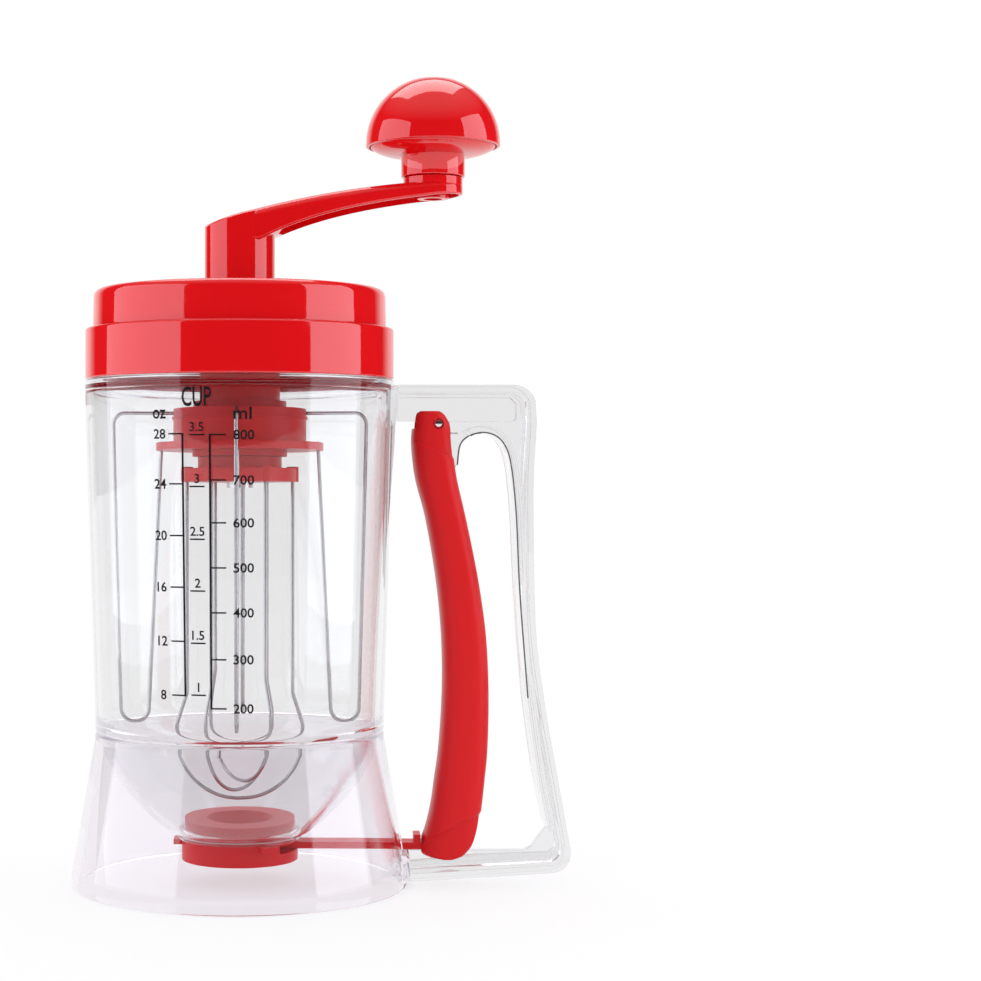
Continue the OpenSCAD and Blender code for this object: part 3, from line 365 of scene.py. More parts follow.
# Painted shade: a dark grey for the thin wire that draws the handle's arch as a dark line.
edge_shade_grey = moulded_plastic("edge_shade_grey", linear(92, 92, 94), 0.35, 0.3, 0.3, variation=0.2)
print("plastics:", [m.name for m in (red_gloss, red_satin, white_nylon, silicone, edge_shade_grey)])

# %% [markdown]
# ## Steel
# The whisks are drawn wire, polished but with faint lines along it. Screws are turned, so they
# are a little duller, and the lever's pin and spring are bright and polished.


# %% Finish: steel
def steel(name, colour, roughness, line_size, line_depth):
    """Bare metal: stretched noise gives it fine drawn lines and uneven roughness."""
    material, tree, output = new_finish(name)
    drawn = add_node(tree, "Mapping", Vector=spot_on_piece(tree), Scale=(1.0, 1.0, 0.04))
    lines = noise(tree, drawn.outputs[0], line_size, 3.0)
    rough = maths(tree, "ADD", roughness, maths(tree, "MULTIPLY", lines, 0.10))
    relief = add_node(tree, "Bump", Height=lines, Strength=line_depth, Distance=0.0001)
    shader = add_node(tree, "BsdfPrincipled", Base_Color=colour, Roughness=rough,
                      Metallic=1.0, Normal=relief.outputs[0])
    tree.links.new(shader.outputs[0], output.inputs["Surface"])
    return material


steel_wire = steel("steel_wire", linear(180, 177, 179), 0.14, 1500.0, 0.10)
turned_steel = steel("steel", linear(215, 215, 216), 0.20, 2500.0, 0.15)
polished_steel = steel("polished_steel", linear(232, 232, 234), 0.10, 2500.0, 0.05)
print("metals:", [m.name for m in (steel_wire, turned_steel, polished_steel)])

# %% [markdown]
# ## Clear plastic
# Real clear plastic does three things here. It refracts, so the jug bends what is behind it. It
# takes a little of the light: each wall has a faint tint, more lavender in the skirt. And light
# passes through it, so it must not throw the dark shadow of a solid: for shadow rays the shader
# is swapped for a nearly colourless Transparent one. So it is for light that has been mirrored
# twice inside the walls, or has met seven surfaces on its way. It would otherwise run out of
# bounces and turn black.

# %% Finish: clear plastic
MOST_SURFACES, MOST_MIRRORINGS = 6.5, 1.5


def clear_plastic(name, tint):
    """Clear moulded plastic. Tint is what a wall leaves of white light that passes through it."""
    material, tree, output = new_finish(name)
    surface = use_group(tree, moulded, Colour=(1, 1, 1, 1), Variation=0.0, Roughness=0.015,
                        Ripple=0.35, Grain=0.02)
    relief = add_node(tree, "Bump", Height=surface.outputs["Height"], Strength=0.05,
                      Distance=MOULD_DEPTH)
    glass = add_node(tree, "BsdfPrincipled", Base_Color=tint,
                     Roughness=surface.outputs["Roughness"], Normal=relief.outputs[0],
                     IOR=PLASTIC_IOR, Transmission_Weight=1.0)
    passing = add_node(tree, "BsdfTransparent", Color=(0.93, 0.925, 0.94, 1))
    light_path = add_node(tree, "LightPath")
    long_way = maths(tree, "GREATER_THAN", light_path.outputs["Ray Depth"], MOST_SURFACES)
    mirrored_often = maths(tree, "GREATER_THAN", light_path.outputs["Glossy Depth"],
                           MOST_MIRRORINGS)
    spent = maths(tree, "MAXIMUM", long_way, mirrored_often)
    swapped = maths(tree, "MAXIMUM", light_path.outputs["Is Shadow Ray"], spent)
    chosen = add_node(tree, "MixShader", _0=swapped, _1=glass.outputs[0],
                      _2=passing.outputs[0])
    tree.links.new(chosen.outputs[0], output.inputs["Surface"])
    return material


clear = clear_plastic("clear", (0.90, 0.90, 0.905, 1))
clear_skirt = clear_plastic("clear_skirt", (0.925, 0.895, 0.925, 1))
clear_handle = clear_plastic("clear_handle", (0.84, 0.84, 0.845, 1))
# Painted shade: a darker clear on the handle's rounded edges draws them as dark lines.
edge_shade_clear = clear_plastic("edge_shade_clear", (0.50, 0.50, 0.51, 1))
print("clear plastics:", [m.name for m in (clear, clear_skirt, clear_handle, edge_shade_clear)])

# %% Give every working part its finish
FINISHES = {
    "clear": clear, "red_gloss": red_gloss, "red_satin": red_satin, "white_nylon": white_nylon,
    "silicone": silicone, "steel": turned_steel, "steel_wire": steel_wire,
}
for part in frame["record"]["subparts"]:
    node = nodes[part["node"]]
    for slot in node.material_slots:
        slot.material = FINISHES[part["material_slot"]]
print("finished parts:", len(nodes))

# %% [markdown]
# ## How the smooth pieces are made
# A solid from a CAD program is cut into flat bands wherever its outline was a chain of short
# lines, and clear plastic shows every band. So the curved pieces are worked out again here as
# grids of points. A grid is a surface with two parameters, such as height and angle. The whole
# grid is computed at once with numpy, and its cells become the faces.


# %% Helpers: grids, clean meshes and pieces
def grid_faces(rows, columns, loop_rows=False, loop_columns=True):
    """Four-sided faces between neighbouring points of a grid, numbered row by row."""
    row = np.arange(rows if loop_rows else rows - 1)[:, None]
    column = np.arange(columns if loop_columns else columns - 1)[None, :]
    next_row, next_column = (row + 1) % rows, (column + 1) % columns
    corners = (row * columns + column, next_row * columns + column,
               next_row * columns + next_column, row * columns + next_column)
    return np.stack(corners, axis=-1).reshape(-1, 4)


def tidy_mesh(mesh, crease=38.0):
    """Joins doubled points, which closes seams and poles, and turns every face outwards.

    Edges that fold by more than crease degrees stay sharp, and all others are shaded smooth."""
    work = bmesh.new()
    work.from_mesh(mesh)
    bmesh.ops.remove_doubles(work, verts=work.verts, dist=2e-6)
    bmesh.ops.recalc_face_normals(work, faces=work.faces)
    work.to_mesh(mesh)
    work.free()
    mesh.shade_smooth()
    mesh.set_sharp_from_angle(angle=math.radians(crease))


def new_piece(name, parts, finish, crease=38.0):
    """Makes one mesh object from a list of (points in millimetres, faces) and gives it a finish."""
    starts = np.cumsum([0] + [points.reshape(-1, 3).shape[0] for points, _ in parts])
    points = np.concatenate([points.reshape(-1, 3) for points, _ in parts]) * MM
    faces = [face for (_, cells), start in zip(parts, starts) for face in (cells + start).tolist()]
    mesh = bpy.data.meshes.new(name)
    mesh.from_pydata(points.tolist(), [], faces)
    tidy_mesh(mesh, crease)
    mesh.materials.append(finish)
    return add_object(name, mesh)


def place(piece, body, slot, *replaced):
    """Lets a piece ride on a body and hides the CAD nodes that it stands for. Slot is not used."""
    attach(piece, body)
    if replaced:
        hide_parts(*replaced)
    print(piece.name, "-", len(piece.data.polygons), "faces, rides on", body)
    return piece


# %% Helpers: outlines, turning and sweeping
def curve(start, control, end, steps, first=0.0, last=1.0):
    """Quadratic curve (1-t)^2 start + 2t(1-t) control + t^2 end, for t from first to last."""
    t = np.linspace(first, last, steps)[:, None]
    start, control, end = np.array(start), np.array(control), np.array(end)
    return (1 - t) ** 2 * start + 2 * t * (1 - t) * control + t * t * end


def rounded(corners, steps=6):
    """An outline through corners of the form (across, up, reach), each one rounded off.

    A corner p becomes a quadratic curve with p as its control. It starts and ends on the two
    edges at p, at the distance reach from p, or half-way along an edge shorter than that."""
    spots = np.array([corner[:2] for corner in corners], dtype=float)
    neighbours = np.roll(spots, 1, 0), np.roll(spots, -1, 0)
    pieces = []
    for here, before, after, corner in zip(spots, *neighbours, corners):
        reach = corner[2] if len(corner) > 2 else 0.0
        if reach <= 0:
            pieces.append(here[None])
            continue
        back, ahead = before - here, after - here
        long_back, long_ahead = np.linalg.norm(back), np.linalg.norm(ahead)
        pieces.append(curve(here + back * min(reach / long_back, 0.5), here,
                            here + ahead * min(reach / long_ahead, 0.5), steps))
    return np.concatenate(pieces)


def as_corners(points):
    """Points of a curve in the form that rounded() takes, with nothing to round."""
    return [(across, up, 0.0) for across, up in points]


def turned(outline, sides=160, centre_x=0.0, angles=None):
    """Turns an outline of (radius, height) round an upright axis.

    x = centre + radius cos a, y = radius sin a and z = height, where a goes once round."""
    a = np.arange(sides) * 2 * math.pi / sides if angles is None else angles
    radius, height = outline[:, :1], outline[:, 1:]
    return np.stack([centre_x + radius * np.cos(a), radius * np.sin(a), height + 0 * a], axis=-1)


def turned_part(outline, closed=True, **where):
    """Points and faces of a turned shape. An open outline has to start and end on the axis."""
    points = turned(outline, **where)
    return points, grid_faces(points.shape[0], points.shape[1], loop_rows=closed)


def around(points, degrees_round):
    """Turns points round the upright axis."""
    a = math.radians(degrees_round)
    c, s = math.cos(a), math.sin(a)
    return points @ np.array(((c, s, 0), (-s, c, 0), (0, 0, 1)))


def tube_part(spots, along, normal, size, sides):
    """Points and faces of rings round the spots of a path, square to the directions along it.

    Each ring is p + size (side cos a + over sin a). side is square to along and normal, and
    over is square to along and side."""
    side = np.cross(along, normal)
    side /= np.linalg.norm(side, axis=1)[:, None]
    over = np.cross(side, along)
    a = np.arange(sides)[None, :, None] * 2 * math.pi / sides
    spokes = side[:, None] * np.cos(a) + over[:, None] * np.sin(a)
    return spots[:, None] + size[:, None] * spokes, grid_faces(len(spots), sides)


def directions(path):
    """The direction of a path at each of its points."""
    along = np.gradient(path, axis=0)
    return along / np.linalg.norm(along, axis=1)[:, None]


def swept_part(path, radius, sides=12, cap_steps=4):
    """A round wire along a path that lies in one plane, or nearly so, with domed ends.

    The rings stand square to the plane of the path. At the ends the radius shrinks as sin b
    while the ring moves out by cos b, so that each end is half a ball."""
    along = directions(path)
    normal = np.linalg.svd(path - path.mean(axis=0))[2][2]
    b = np.linspace(0, math.pi / 2, cap_steps + 1)[:-1, None]
    start = path[:1] - along[:1] * radius * np.cos(b)
    end = path[-1:] + along[-1:] * radius * np.cos(b[::-1])
    spots = np.concatenate([start, path, end])
    size = np.concatenate([np.sin(b), np.ones((len(path), 1)), np.sin(b[::-1])]) * radius
    along = np.concatenate([along[[0] * cap_steps], along, along[[-1] * cap_steps]])
    return tube_part(spots, along, normal, size, sides)


def bent_path(corners, radii, steps):
    """A path along corners (x, z) with a true arc of the given radius at each inner corner.

    The arc touches both runs at the distance radius x tan(turn / 2) from the corner."""
    corners = np.array(corners, dtype=float)
    runs = np.diff(corners, axis=0)
    runs /= np.linalg.norm(runs, axis=1)[:, None]
    parts = [corners[:1]]
    for corner, come, leave, radius in zip(corners[1:-1], runs[:-1], runs[1:], radii):
        turn = math.acos(float(np.clip(come @ leave, -1, 1)))
        inward = (leave - come) / np.linalg.norm(leave - come)
        centre = corner + inward * radius / math.cos(turn / 2)
        spoke = corner - come * radius * math.tan(turn / 2) - centre
        t = np.linspace(0, turn, steps)[:, None]
        parts.append(centre + spoke * np.cos(t) + radius * come * np.sin(t))
    parts.append(corners[-1:])
    return np.concatenate(parts)


def cut(piece, *cutters):
    """Takes each cutter away from a piece for good, with exact Boolean modifiers."""
    for index, cutter in enumerate(cutters):
        modifier = piece.modifiers.new(f"cut_{index}", "BOOLEAN")
        modifier.operation, modifier.solver, modifier.object = "DIFFERENCE", "EXACT", cutter
    shaped = piece.evaluated_get(bpy.context.evaluated_depsgraph_get())
    mesh = bpy.data.meshes.new_from_object(shaped)
    piece.modifiers.clear()
    old, piece.data = piece.data, mesh
    bpy.data.meshes.remove(old)
    mesh.name = piece.name
    for cutter in cutters:
        shape = cutter.data
        bpy.data.objects.remove(cutter)
        bpy.data.meshes.remove(shape)
    return piece


def box_part(low, high):
    """Points and faces of a box between two corners, in millimetres."""
    low, high = np.array(low, float), np.array(high, float)
    corner = np.array([(x, y, z) for z in (0, 1) for y in (0, 1) for x in (0, 1)])
    faces = np.array([(0, 2, 3, 1), (4, 5, 7, 6), (0, 1, 5, 4),
                      (2, 6, 7, 3), (0, 4, 6, 2), (1, 3, 7, 5)])
    return low + corner * (high - low), faces


def block(low, high):
    """A cutter: a box between two corners, in millimetres."""
    return new_piece("cutter", [box_part(low, high)], clear)


def prism(outline, half):
    """A cutter: an outline of (x, z) in millimetres, carried from y = -half to half."""
    count = len(outline)
    sides = [np.column_stack([outline[:, 0], np.full(count, y), outline[:, 1]])
             for y in (-half, half)]
    ends = [list(range(count)), list(range(2 * count - 1, count - 1, -1))]
    faces = grid_faces(2, count).tolist() + ends
    mesh = bpy.data.meshes.new("cutter")
    mesh.from_pydata((np.concatenate(sides) * MM).tolist(), [], faces)
    tidy_mesh(mesh)
    return add_object("cutter", mesh)


short_wire = swept_part(np.array([(0, 0, 0), (0, 0, 9), (1, 0, 18)], float), 1.0)[0]
print("a short wire is a grid of", short_wire.shape[0], "rings of", short_wire.shape[1], "points")

# %% [markdown]
# ## The jug
# The jug is one clear moulding: a slightly tapered wall, a neck for the lid, a bowl below and a
# collar for the valve. It is turned from one outline that runs up the outside, over the lip of
# the neck and down the inside. The flat pad that carries the handle can't be turned, so there
# the wall's radius is raised to the distance of a flat plane, which is x / cos a.

# %% Jug
RIM, WAIST, NECK, NECK_BORE = 51.2, 47.7, 47.9, 45.7
LEDGE_Z, NECK_TOP, SHOULDER_Z, COLLAR_Z = 166.2, 178.9, 51.0, 14.9
TAPER_Z, WALL, PAD_HALF = 54.0, 2.2, 13.0


def wall_radius(height):
    """Outer radius of the tapered wall: a straight line from the waist to the rim."""
    return WAIST + (RIM - WAIST) * (height - TAPER_Z) / (LEDGE_Z - TAPER_Z)


def padded_part(outline, low, high, face_x, sides=160):
    """Turns an outline, then moves its outside out to the plane x = face_x over a pad.

    There the radius becomes the larger of its own and face_x / cos a. Two close pairs of angles
    mark the pad's upright edges."""
    edge = math.atan(PAD_HALF / face_x)
    even = -math.pi + (np.arange(sides) + 0.5) * 2 * math.pi / sides
    pairs = [-edge - 0.002, -edge + 0.002, edge - 0.002, edge + 0.002]
    angles = np.sort(np.concatenate([even, pairs]))
    points = turned(outline, angles=angles)
    radius, up = np.hypot(points[..., 0], points[..., 1]), points[..., 2]
    outside = radius > face_x - 5.0
    on_pad = outside & (up > low) & (up < high) & (np.abs(angles) < edge)
    grown = np.where(on_pad, np.maximum(radius, face_x / np.cos(angles)), radius)
    points[..., :2] *= (grown / np.maximum(radius, 1e-9))[..., None]
    return points, grid_faces(*points.shape[:2], loop_rows=True)


PAD_LOW, PAD_HIGH, PAD_X, CLOSE = 152.6, 164.3, 51.9, 0.05
bowl_out = curve((20.6, COLLAR_Z), (45.9, 34.9), (45.9, SHOULDER_Z), 40, first=0.07)
bowl_in = curve((19.28, 16.88), (43.7, 35.56), (43.7, SHOULDER_Z), 40, first=0.04)[::-1]
low_inside = curve((45.5, 57.4), (45.5, 53.3), (43.75, 51.2), 16)
on_wall = [(wall_radius(z), z, 0)
           for z in (PAD_LOW - CLOSE, PAD_LOW + CLOSE, PAD_HIGH - CLOSE, PAD_HIGH + CLOSE)]
jug_outline = rounded(
    [(18.7, COLLAR_Z, 0.3), (20.6, COLLAR_Z, 0.4), (20.6, 16.0, 0.4)] + as_corners(bowl_out)
    + [(47.2, SHOULDER_Z, 0.25), (WAIST, SHOULDER_Z + 0.5, 0.25), (WAIST, TAPER_Z, 1.5)] + on_wall
    + [(RIM, LEDGE_Z, 0.8), (NECK, LEDGE_Z, 0.35), (NECK, NECK_TOP, 0.7),
       (NECK_BORE, NECK_TOP, 0.7), (NECK_BORE, 164.2, 1.0), (wall_radius(163.0) - WALL, 163.2, 1.6)]
    + as_corners(low_inside) + as_corners(bowl_in)
    + [(19.9, 17.9, 0.2), (19.9, 18.6, 0.3), (18.7, 18.6, 0.3)])
jug = new_piece("jug", [padded_part(jug_outline, PAD_LOW, PAD_HIGH, PAD_X)], clear, crease=50)
place(jug, "jug", "clear", "jug_body")

# %% [markdown]
# ## The skirt
# The jug stands on a flared skirt of the same clear plastic. Its outline starts at the foot
# ring, follows the flare up to the shoulder and comes back down inside the wall. The slot that
# the valve's strap slides through is cut out afterwards.

# %% Skirt
FOOT, FOOT_IN, SLOT_HALF = 55.4, 55.4 - 2.3, 4.6
FOOT_PAD_LOW, FOOT_PAD_HIGH, FOOT_PAD_X = 2.8, 10.9, 55.7
flare_out = curve((47.8, 48.0), (49.9, 35.0), (FOOT, 4.5), 44)[::-1]
flare_in = curve((46.05, 48.0), (47.95, 35.0), (FOOT_IN, 4.5), 44)
off_edge = np.abs(flare_out[:, 1] - FOOT_PAD_HIGH) > 0.12
pad_edge = np.array([(np.interp(z, flare_out[:, 1], flare_out[:, 0]), z)
                     for z in (FOOT_PAD_HIGH - CLOSE, FOOT_PAD_HIGH + CLOSE)])
flare_out = np.concatenate([flare_out[off_edge], pad_edge])
flare_out = flare_out[np.argsort(flare_out[:, 1])]
skirt_outline = rounded(
    [(FOOT_IN, 0.0, 0.4), (FOOT, 0.0, 0.9), (FOOT, FOOT_PAD_LOW - CLOSE, 0),
     (FOOT, FOOT_PAD_LOW + CLOSE, 0)] + as_corners(flare_out)
    + [(WAIST, 50.0, 0.3), (47.2, 50.88, 0.2), (46.05, 50.88, 0.2)] + as_corners(flare_in))
skirt = new_piece("skirt", [padded_part(skirt_outline, FOOT_PAD_LOW, FOOT_PAD_HIGH, FOOT_PAD_X)],
                  clear_skirt, crease=50)
cut(skirt, block((45, -SLOT_HALF, 11.1), (65, SLOT_HALF, 14.3)))
tidy_mesh(skirt.data, 50)
place(skirt, "jug", "clear", "base_skirt")

# %% [markdown]
# ## The handle
# The handle is an I-beam in clear plastic: a thin web with a broad rim along its outside and
# round the finger opening. Its outlines are already right, so this is a copy of the working
# part with its seams joined and its edges rounded. The rounded edges are of a darker clear:
# painted shade, which draws them as the dark lines that bent light shows at a clear edge.

# %% Handle
HANDLE_CREASE = 32
handle = add_object("handle", nodes["handle_frame"].data.copy())
handle.data.materials.clear()
for finish in (clear_handle, edge_shade_clear):
    handle.data.materials.append(finish)
work = bmesh.new()
work.from_mesh(handle.data)
bmesh.ops.remove_doubles(work, verts=work.verts, dist=1e-6)
bmesh.ops.dissolve_limit(work, angle_limit=math.radians(0.5), verts=work.verts, edges=work.edges)
work.to_mesh(handle.data)
work.free()
tidy_mesh(handle.data, HANDLE_CREASE)
rounding = handle.modifiers.new("rounding", "BEVEL")
rounding.width, rounding.segments = 0.5 * MM, 2
rounding.limit_method, rounding.angle_limit = "ANGLE", math.radians(HANDLE_CREASE)
# The rounded edges take the second finish, the painted edge shade.
rounding.material = 1
rounding.harden_normals = True
place(handle, "jug", "clear", "handle_frame")

# %% [markdown]
# ## The lid
# The lid is a two-step red cup. Its edges are rolled over with small radii that catch the
# light as thin bright lines, so the outline has many steps round each edge. Inside, six ribs
# stiffen the top.

# %% Lid
LID_Z, BAND_Z, CAP_Z, BAND_R, CAP_R, LID_BORE = 166.5, 183.1, 196.1, 51.0, 48.4, 5.5
lid_outline = rounded([
    (LID_BORE, 194.0), (46.3, 194.0, 1.2), (46.3, 180.9), (48.9, 180.9, 0.4), (48.9, LID_Z, 0.2),
    (BAND_R, LID_Z, 0.5), (BAND_R, BAND_Z, 1.0), (CAP_R + 0.1, BAND_Z, 0.5),
    (CAP_R - 0.15, CAP_Z, 3.0), (LID_BORE, CAP_Z, 0.2)], steps=10)
rib, rib_faces = box_part((13.6, -0.8, 188.0), (46.4, 0.8, 194.4))
ribs = [(around(rib, 60 * index + 30), rib_faces) for index in range(6)]
lid = new_piece("lid", [turned_part(lid_outline, sides=200)] + ribs, red_gloss, crease=50)
place(lid, "lid", "red_gloss", "screw_lid")

# %% [markdown]
# ## The crank
# The arm is a hollow channel that bows up from a round post to a round boss. It is a loft: at
# each place along its length the cross-section is a rectangle with rounded corners, and its
# half width follows the post's circle, then a slow taper, then the boss's circle. So both ends
# close in a neat round nose. The hollow is the same loft, smaller, and is cut out from below.

# %% Crank arm
POST_R, END_R, REACH = 11.6, 9.8, 64.0
POST_Z, ARM_Z, END_Z, END_TOP = 196.4, 218.5, 231.5, 233.3
ARM_WIDE, ARM_WALL, ARM_ROOF, BORE_R = (POST_R - 0.9, END_R - 0.9), 1.2, 2.2, 3.05
UNDER_Z, UNDER_X = ARM_Z - 6.5, POST_R * 0.6


def arm_half_width(x):
    """Half width of the arm at x: a circle at each end and a straight taper between them."""
    post = np.sqrt(np.maximum(POST_R ** 2 - x ** 2, 0))
    boss = np.sqrt(np.maximum(END_R ** 2 - (x - REACH) ** 2, 0))
    taper = np.interp(x, (0, REACH), ARM_WIDE)
    between = np.where((x > 0) & (x < REACH), taper, 0)
    return np.maximum(np.maximum(post, boss), between)


def height_on(points, x):
    """Height of a curve of (x, z) points at x."""
    order = np.argsort(points[:, 0])
    return np.interp(x, points[order, 0], points[order, 1])


arm_top = curve((-POST_R, ARM_Z - 1.2), (REACH * 0.42, ARM_Z + 11.18), (REACH, END_Z), 80)
arm_under = curve((REACH + END_R, END_Z - 3.78), (REACH * 0.45, END_Z - 7.29),
                  (UNDER_X, UNDER_Z), 80)


def loft_part(x, half_width, top, under, edge, low_edge, corner_steps=6):
    """A closed loft along x. Each cross-section is a rectangle whose corners are quarter circles.

    The radius is edge above and low_edge below, or less where the section is narrow or low."""
    room = (np.minimum(half_width, (top - under) / 2) * 0.98)[:, None]
    radius = np.minimum(np.repeat(np.array([edge, low_edge]), 2 * corner_steps)[None, :], room)
    a = np.linspace(0, math.pi / 2, corner_steps)
    a = np.concatenate([a, a + math.pi / 2, a + math.pi, a + 1.5 * math.pi])
    side = np.repeat(np.array([1, -1, -1, 1]), corner_steps)[None, :]
    level = np.repeat(np.array([1, 1, -1, -1]), corner_steps)[None, :]
    y = side * (half_width[:, None] - radius) + radius * np.cos(a)
    middle, half = ((top + under) / 2)[:, None], ((top - under) / 2)[:, None]
    z = middle + level * (half - radius) + radius * np.sin(a)
    points = np.stack([np.repeat(x[:, None], y.shape[1], 1), y, z], axis=-1)
    return points, grid_faces(len(x), y.shape[1])


def spread(low, high, count):
    """Places from low to high that crowd towards both ends, as the shadow of a wheel's rim does."""
    return low + (high - low) * (1 - np.cos(np.linspace(0.0, math.pi, count))) / 2


x = np.unique(np.concatenate([spread(-POST_R, POST_R, 31), np.linspace(POST_R, REACH - END_R, 50),
                              spread(REACH - END_R, REACH + END_R, 31)]))
top = np.where(x < REACH, height_on(arm_top, x), END_Z)
under = np.where(x < UNDER_X, UNDER_Z, height_on(arm_under, x))
half_width = arm_half_width(x)
half_width[0] = half_width[-1] = 0.0
arm = new_piece("crank_arm_smooth", [loft_part(x, half_width, top, under, 3.0, 0.7)], red_gloss)
boss_in_r = END_R - ARM_WALL
x = np.unique(np.concatenate([np.linspace(POST_R + ARM_WALL, REACH, 40),
                              spread(REACH, REACH + boss_in_r, 16)]))
in_boss = np.sqrt(np.maximum(boss_in_r ** 2 - (x - REACH) ** 2, 0))
in_arm = np.minimum(arm_half_width(x), ARM_WIDE[0]) - ARM_WALL
half_width = np.where(x > REACH, in_boss, in_arm)
half_width[0] = half_width[-1] = 0.0
top, under = height_on(arm_top, np.minimum(x, REACH)) - ARM_ROOF, np.full_like(x, ARM_Z - 12.0)
cut(arm, new_piece("hollow", [loft_part(x, half_width, top, under, 0.8, 0.8)], red_gloss))
tidy_mesh(arm.data, 42)

# %% Crank post and boss
post_outline = rounded([(POST_R - 2.2, POST_Z), (POST_R, POST_Z, 0.3), (POST_R, ARM_Z - 2.4, 0.0),
                        (POST_R - 2.2, ARM_Z - 2.4)])
core_outline = rounded([(BORE_R, 197.2), (5.6, 197.2, 0.2), (5.6, ARM_Z - 2.6),
                        (BORE_R, ARM_Z - 2.6)])
boss_outline = rounded([(BORE_R, END_Z - 1.2), (END_R - 0.8, END_Z - 1.2), (END_R, END_Z - 0.8),
                        (END_R, END_TOP, 0.35), (BORE_R, END_TOP)])
screw_post = rounded([(BORE_R, END_Z - 5.2), (5.2, END_Z - 5.2, 0.3), (5.2, END_Z - 1.6),
                      (BORE_R, END_Z - 1.6)])
post_points, post_faces = turned_part(post_outline, sides=120)
on_top = post_points[..., 2] > ARM_Z - 3
slope = np.minimum(height_on(arm_top, post_points[..., 0]) - 0.9, ARM_Z + 3.0)
post_points[..., 2] = np.where(on_top, slope, post_points[..., 2])
crank_parts = [(post_points, post_faces), turned_part(core_outline, sides=64),
               turned_part(boss_outline, sides=120, centre_x=REACH),
               turned_part(screw_post, sides=64, centre_x=REACH)]
posts = new_piece("crank_post", crank_parts, red_gloss, crease=42)
place(arm, "crank", "red_gloss", "crank_arm")
place(posts, "crank", "red_gloss")

# %% [markdown]
# ## The knob
# The knob is a mushroom turned from one outline. A narrow groove runs under the edge of its
# dome, and a flat cap is let into the top with a thin gap round it.

# %% Knob and its cap
KNOB_R, KNOB_NECK, GRIP_Z, DOME_Z = 22.2, 10.5, 233.5, 244.5
CAP_R_OUT, CAP_HOLE, CAP_SEAT, SCREW_BORE = 6.85, 7.02, 261.7, 3.06


def dome_height(radius):
    """Height of the dome at a distance from the knob's axis: a ball of the knob's radius."""
    return DOME_Z + np.sqrt(np.maximum(KNOB_R ** 2 - radius ** 2, 0))


a = np.radians(np.linspace(0, 71.5, 48))
dome = np.stack([KNOB_R * np.cos(a), DOME_Z + KNOB_R * np.sin(a)], axis=-1)
dome = dome[dome[:, 0] > CAP_HOLE + 0.3]
belly = curve((KNOB_NECK + 0.1, DOME_Z - 4.0), (KNOB_NECK + 7.5, DOME_Z - 3.6),
              (20.6, DOME_Z - 1.1), 16)
knob_outline = rounded(
    [(SCREW_BORE, GRIP_Z), (KNOB_NECK, GRIP_Z, 0.4), (KNOB_NECK, DOME_Z - 4.1)] + as_corners(belly)
    + [(20.7, DOME_Z + 0.2), (21.2, DOME_Z + 0.2), (21.2, DOME_Z - 1.0, 0.15),
       (KNOB_R, DOME_Z - 0.9, 0.35)] + as_corners(dome)
    + [(CAP_HOLE, float(dome_height(CAP_HOLE)), 0.25), (CAP_HOLE, CAP_SEAT), (5.4, CAP_SEAT),
       (5.4, 254.5), (SCREW_BORE, 254.5)])
knob = new_piece("knob", [turned_part(knob_outline, centre_x=REACH)], red_gloss, crease=50)
place(knob, "knob", "red_gloss", "crank_knob")
r = np.linspace(6.6, 0.0, 14)
cap_top = np.stack([r, dome_height(r) - 0.25], axis=-1)
cap_edge = (CAP_R_OUT, float(dome_height(CAP_R_OUT)) - 0.3, 0.25)
cap_outline = rounded([(0.0, CAP_SEAT), (CAP_R_OUT, CAP_SEAT), cap_edge] + as_corners(cap_top))
cap_part = turned_part(cap_outline, closed=False, sides=96, centre_x=REACH)
knob_cap = new_piece("cap", [cap_part], red_gloss, crease=50)
place(knob_cap, "knob", "red_gloss", "knob_cap")

# %% [markdown]
# ## The lever
# The lever hangs from its pin and narrows to a foot that hooks the valve's strap. Every level
# of it is a superellipse, a rounded rectangle given by |x/a|^3 + |y/b|^3 = 1, whose middle and
# width come from a smooth curve through a few stations. Between two slanting creases the grip
# is broader than the head and the foot. It is hollow and open towards the handle, a slot in
# its foot takes the strap, and a narrower notch lets the foot straddle the handle's web.

# %% Lever
PIVOT_X, PIVOT_Z, LEVER_FOOT, LEVER_TOP = 65.4, 151.8, 8.8, 155.9
HEAD_DEPTH, GRIP_DEPTH, FRONT_WALL, CHEEK = 17.0, 20.0, 2.0, 2.2
WEB_NOTCH_HALF, WEB_NOTCH_TOP = 2.1, 11.5
stations = np.array([
    (1.000, -2.8, 3.9), (0.994, -2.5, 5.0), (0.984, -2.1, 5.8), (0.965, -1.7, 6.6),
    (0.925, -1.65, 6.95), (0.85, -0.3, 7.0), (0.76, 2.9, 6.8), (0.625, 6.6, 7.1),
    (0.5, 8.8, 7.5), (0.375, 9.4, 7.8), (0.25, 8.7, 8.2), (0.17, 7.4, 8.45), (0.116, 6.4, 8.6),
    (0.07, 5.2, 8.95), (0.033, 3.5, 9.1), (0.013, 2.2, 8.1), (0.004, 2.4, 5.9), (0.000, 2.9, 3.0)])


def through(table, steps):
    """A smooth curve through every row of a table: Catmull and Rom's cubic between two rows."""
    before = np.concatenate([table[:1], table[:-1]])[:-1]
    after = np.concatenate([table[1:], table[-1:]])[1:]
    here, there = table[:-1], table[1:]
    t = (np.arange(steps) / steps)[:, None, None]
    rows = 0.5 * (2 * here + (there - before) * t
                  + (2 * before - 5 * here + 4 * there - after) * t ** 2
                  + (3 * here - before - 3 * there + after) * t ** 3)
    return np.concatenate([rows.transpose(1, 0, 2).reshape(-1, table.shape[1]), table[-1:]])


